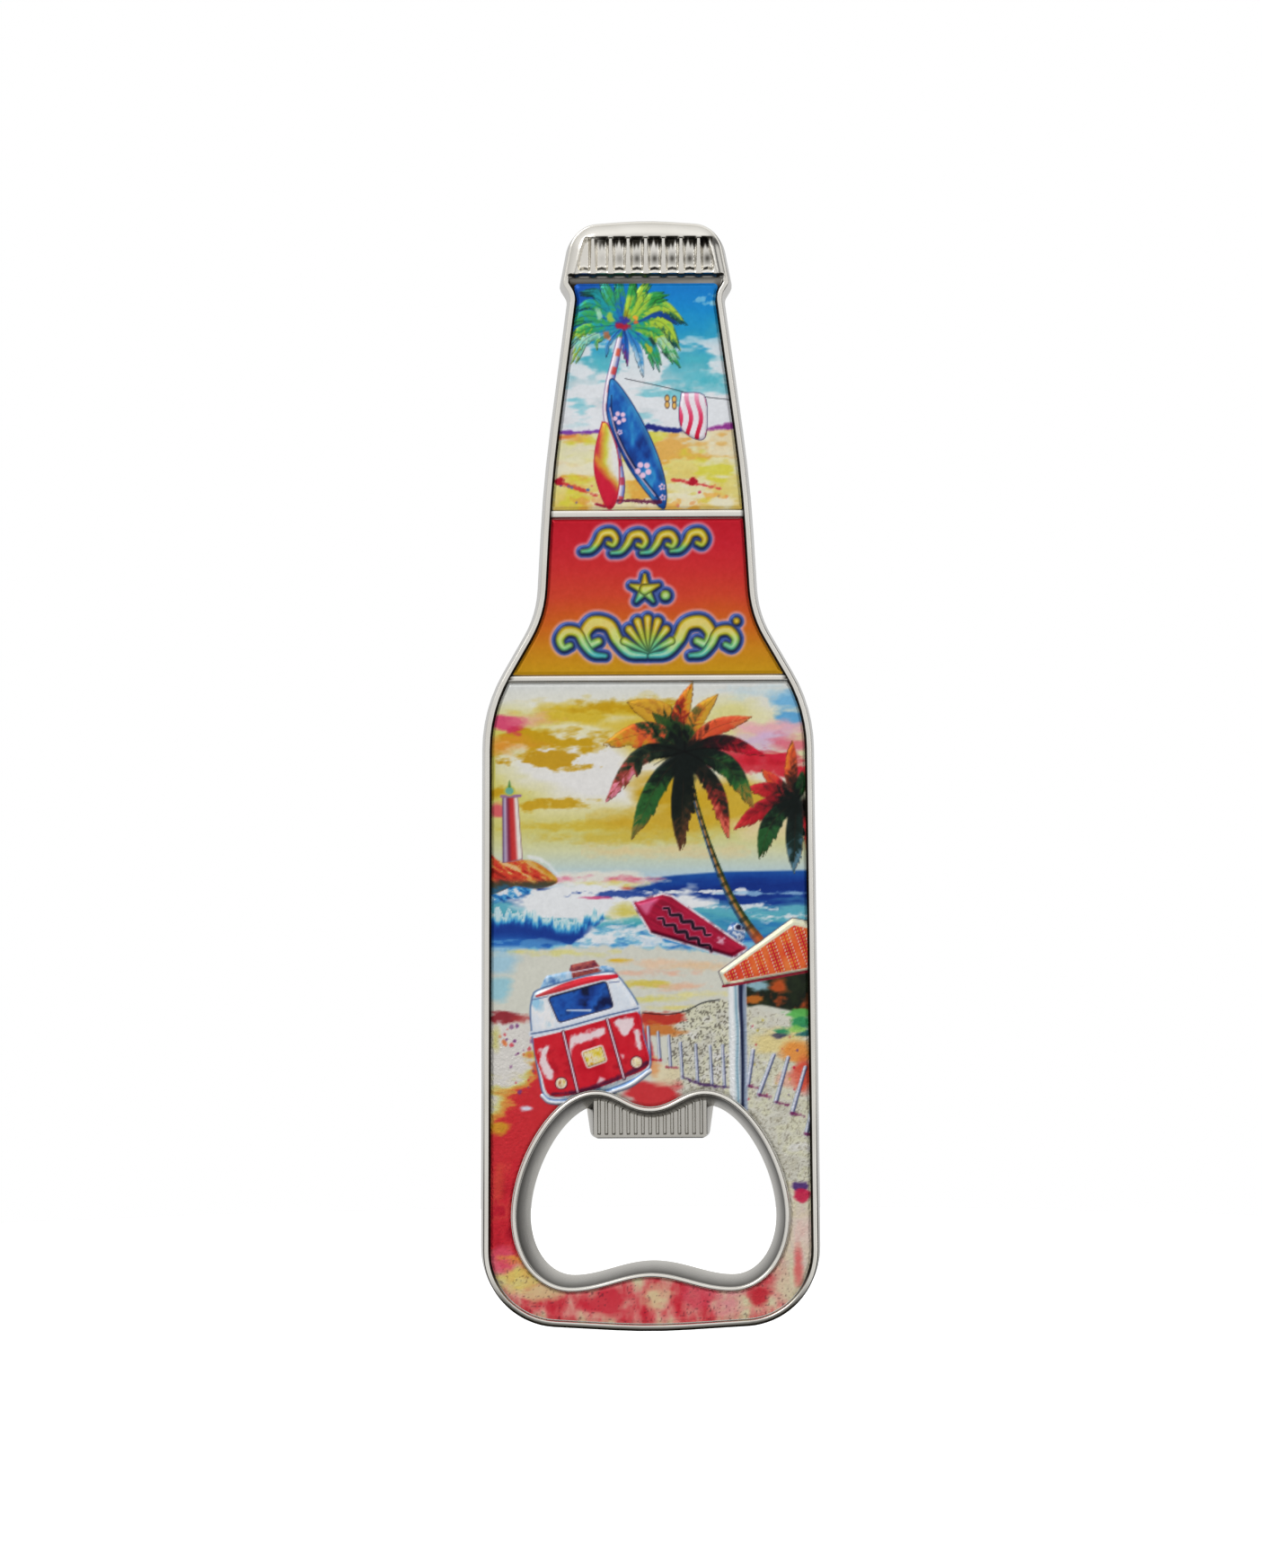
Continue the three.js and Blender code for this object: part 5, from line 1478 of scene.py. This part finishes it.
ferrite = speckled("ferrite", (0.018, 0.018, 0.020), (0.045, 0.043, 0.042), 900.0, (0.42, 0.62), 0.25)
glue = speckled("glue", (0.42, 0.36, 0.24), (0.56, 0.50, 0.36), 500.0, (0.25, 0.45), 0.2)
film = speckled("adhesive_film", (0.62, 0.60, 0.55), (0.74, 0.72, 0.68), 700.0, (0.5, 0.7), 0.15)
for name, z in MAGNET_Z.items():
    profile = [(-0.22, 0.15), (-0.06, 0.20), (0, 0.34), (0, 1.78), (-0.06, 1.90), (-0.2, 1.95)]
    magnet = swept(name, circle(MAGNET_RADIUS, z), profile)
    shade(magnet, 60)
    place(magnet, name + "_magnet", ferrite)
    repaint(name + "_magnet_glue", glue)
for name in ("neck", "title", "scene"):
    repaint(name + "_adhesive", film)


# ---------------------------------------------------------------- stage, lights and camera

FLOOR_Z, FLOOR_RADIUS = -80, 300                     # millimetres
SENSOR_WIDTH = 36.0                                  # millimetres
CAMERA_DISTANCE, VIEW_WIDTH = 0.450, 0.1746          # metres


def add_light(name, location, target, size, power, colour=(1, 1, 1)):
    light = bpy.data.lights.new(name, "AREA")
    light.shape = "RECTANGLE"
    light.size, light.size_y = size
    light.energy = power
    light.color = colour
    made = bpy.data.objects.new(name, light)
    bpy.context.scene.collection.objects.link(made)
    made.location = location
    direction = Vector(target) - Vector(location)
    made.rotation_euler = direction.to_track_quat("-Z", "Y").to_euler()
    return made


def make_world():
    """White behind the object; its reflections see a pale tent, darker behind and below, with a dark card."""
    world = bpy.data.worlds.new("studio")
    bpy.context.scene.world = world
    world.use_nodes = True
    tree = world.node_tree
    tree.nodes.clear()
    where = tree.nodes.new("ShaderNodeTexCoord").outputs["Generated"]
    split = tree.nodes.new("ShaderNodeSeparateXYZ")
    tree.links.new(where, split.inputs["Vector"])
    light = mapped(tree, split.outputs["Y"], 0.86, 0.62, -0.5, 0.6)
    below = mapped(tree, split.outputs["Z"], 0.04, 1.0, -0.80, -0.45)
    above = mapped(tree, split.outputs["Z"], 1.0, 1.3, 0.2, 0.6)
    card = mapped(tree, split.outputs["X"], 1.0, 0.12, 0.62, 0.74)
    card_end = mapped(tree, split.outputs["X"], 0.0, 0.88, 0.86, 0.94)
    card_sum = calculated(tree, "ADD", card, card_end)
    total = calculated(tree, "MULTIPLY", calculated(tree, "MULTIPLY", light, below), card_sum)
    total = calculated(tree, "MULTIPLY", total, above)
    tent = tree.nodes.new("ShaderNodeBackground")
    tree.links.new(total, tent.inputs["Strength"])
    white = tree.nodes.new("ShaderNodeBackground")
    white.inputs["Color"].default_value = (1, 1, 1, 1)
    tent.inputs["Color"].default_value = (1, 1, 1, 1)
    seen = tree.nodes.new("ShaderNodeLightPath")
    mix = tree.nodes.new("ShaderNodeMixShader")
    output = tree.nodes.new("ShaderNodeOutputWorld")
    tree.links.new(seen.outputs["Is Camera Ray"], mix.inputs["Fac"])
    tree.links.new(tent.outputs[0], mix.inputs[1])
    tree.links.new(white.outputs[0], mix.inputs[2])
    tree.links.new(mix.outputs[0], output.inputs["Surface"])


def make_floor():
    """A pale floor that glows a little, so that no shadow edge shows, and isn't mirrored in the metal."""
    ring = circle(FLOOR_RADIUS, 0)
    floor = make_object("floor", [(x, y, 0) for x, y in ring], [list(range(len(ring)))])
    floor.location.z = FLOOR_Z * MM
    material, tree, shader = new_material("pale_floor")
    set_inputs(shader, {"Base Color": (0.7, 0.7, 0.7, 1), "Roughness": 0.9,
                        "Emission Color": (1, 1, 1, 1), "Emission Strength": 0.75})
    floor.data.materials.append(material)
    floor.visible_glossy = False
    floor.visible_diffuse = False


def make_camera():
    """Straight in front of the object and a little to its left, with a slight roll."""
    camera = bpy.data.cameras.new("camera")
    camera.sensor_width = SENSOR_WIDTH
    camera.lens = SENSOR_WIDTH * CAMERA_DISTANCE / VIEW_WIDTH
    camera.clip_start = 0.01
    made = bpy.data.objects.new("camera", camera)
    bpy.context.scene.collection.objects.link(made)
    made.location = (-1.95 * MM, -CAMERA_DISTANCE - RIM * MM, -0.9 * MM)
    made.rotation_euler = (math.radians(90), math.radians(0.3), 0)
    bpy.context.scene.camera = made


make_world()
make_floor()
make_camera()
add_light("key", (-0.35, -0.55, 0.45), (0, 0, 0), (0.35, 0.35), 1.3)
add_light("fill", (0.5, -0.5, 0.1), (0, 0, 0), (0.3, 0.5), 0.3)
bpy.context.scene.view_settings.view_transform = "Standard"
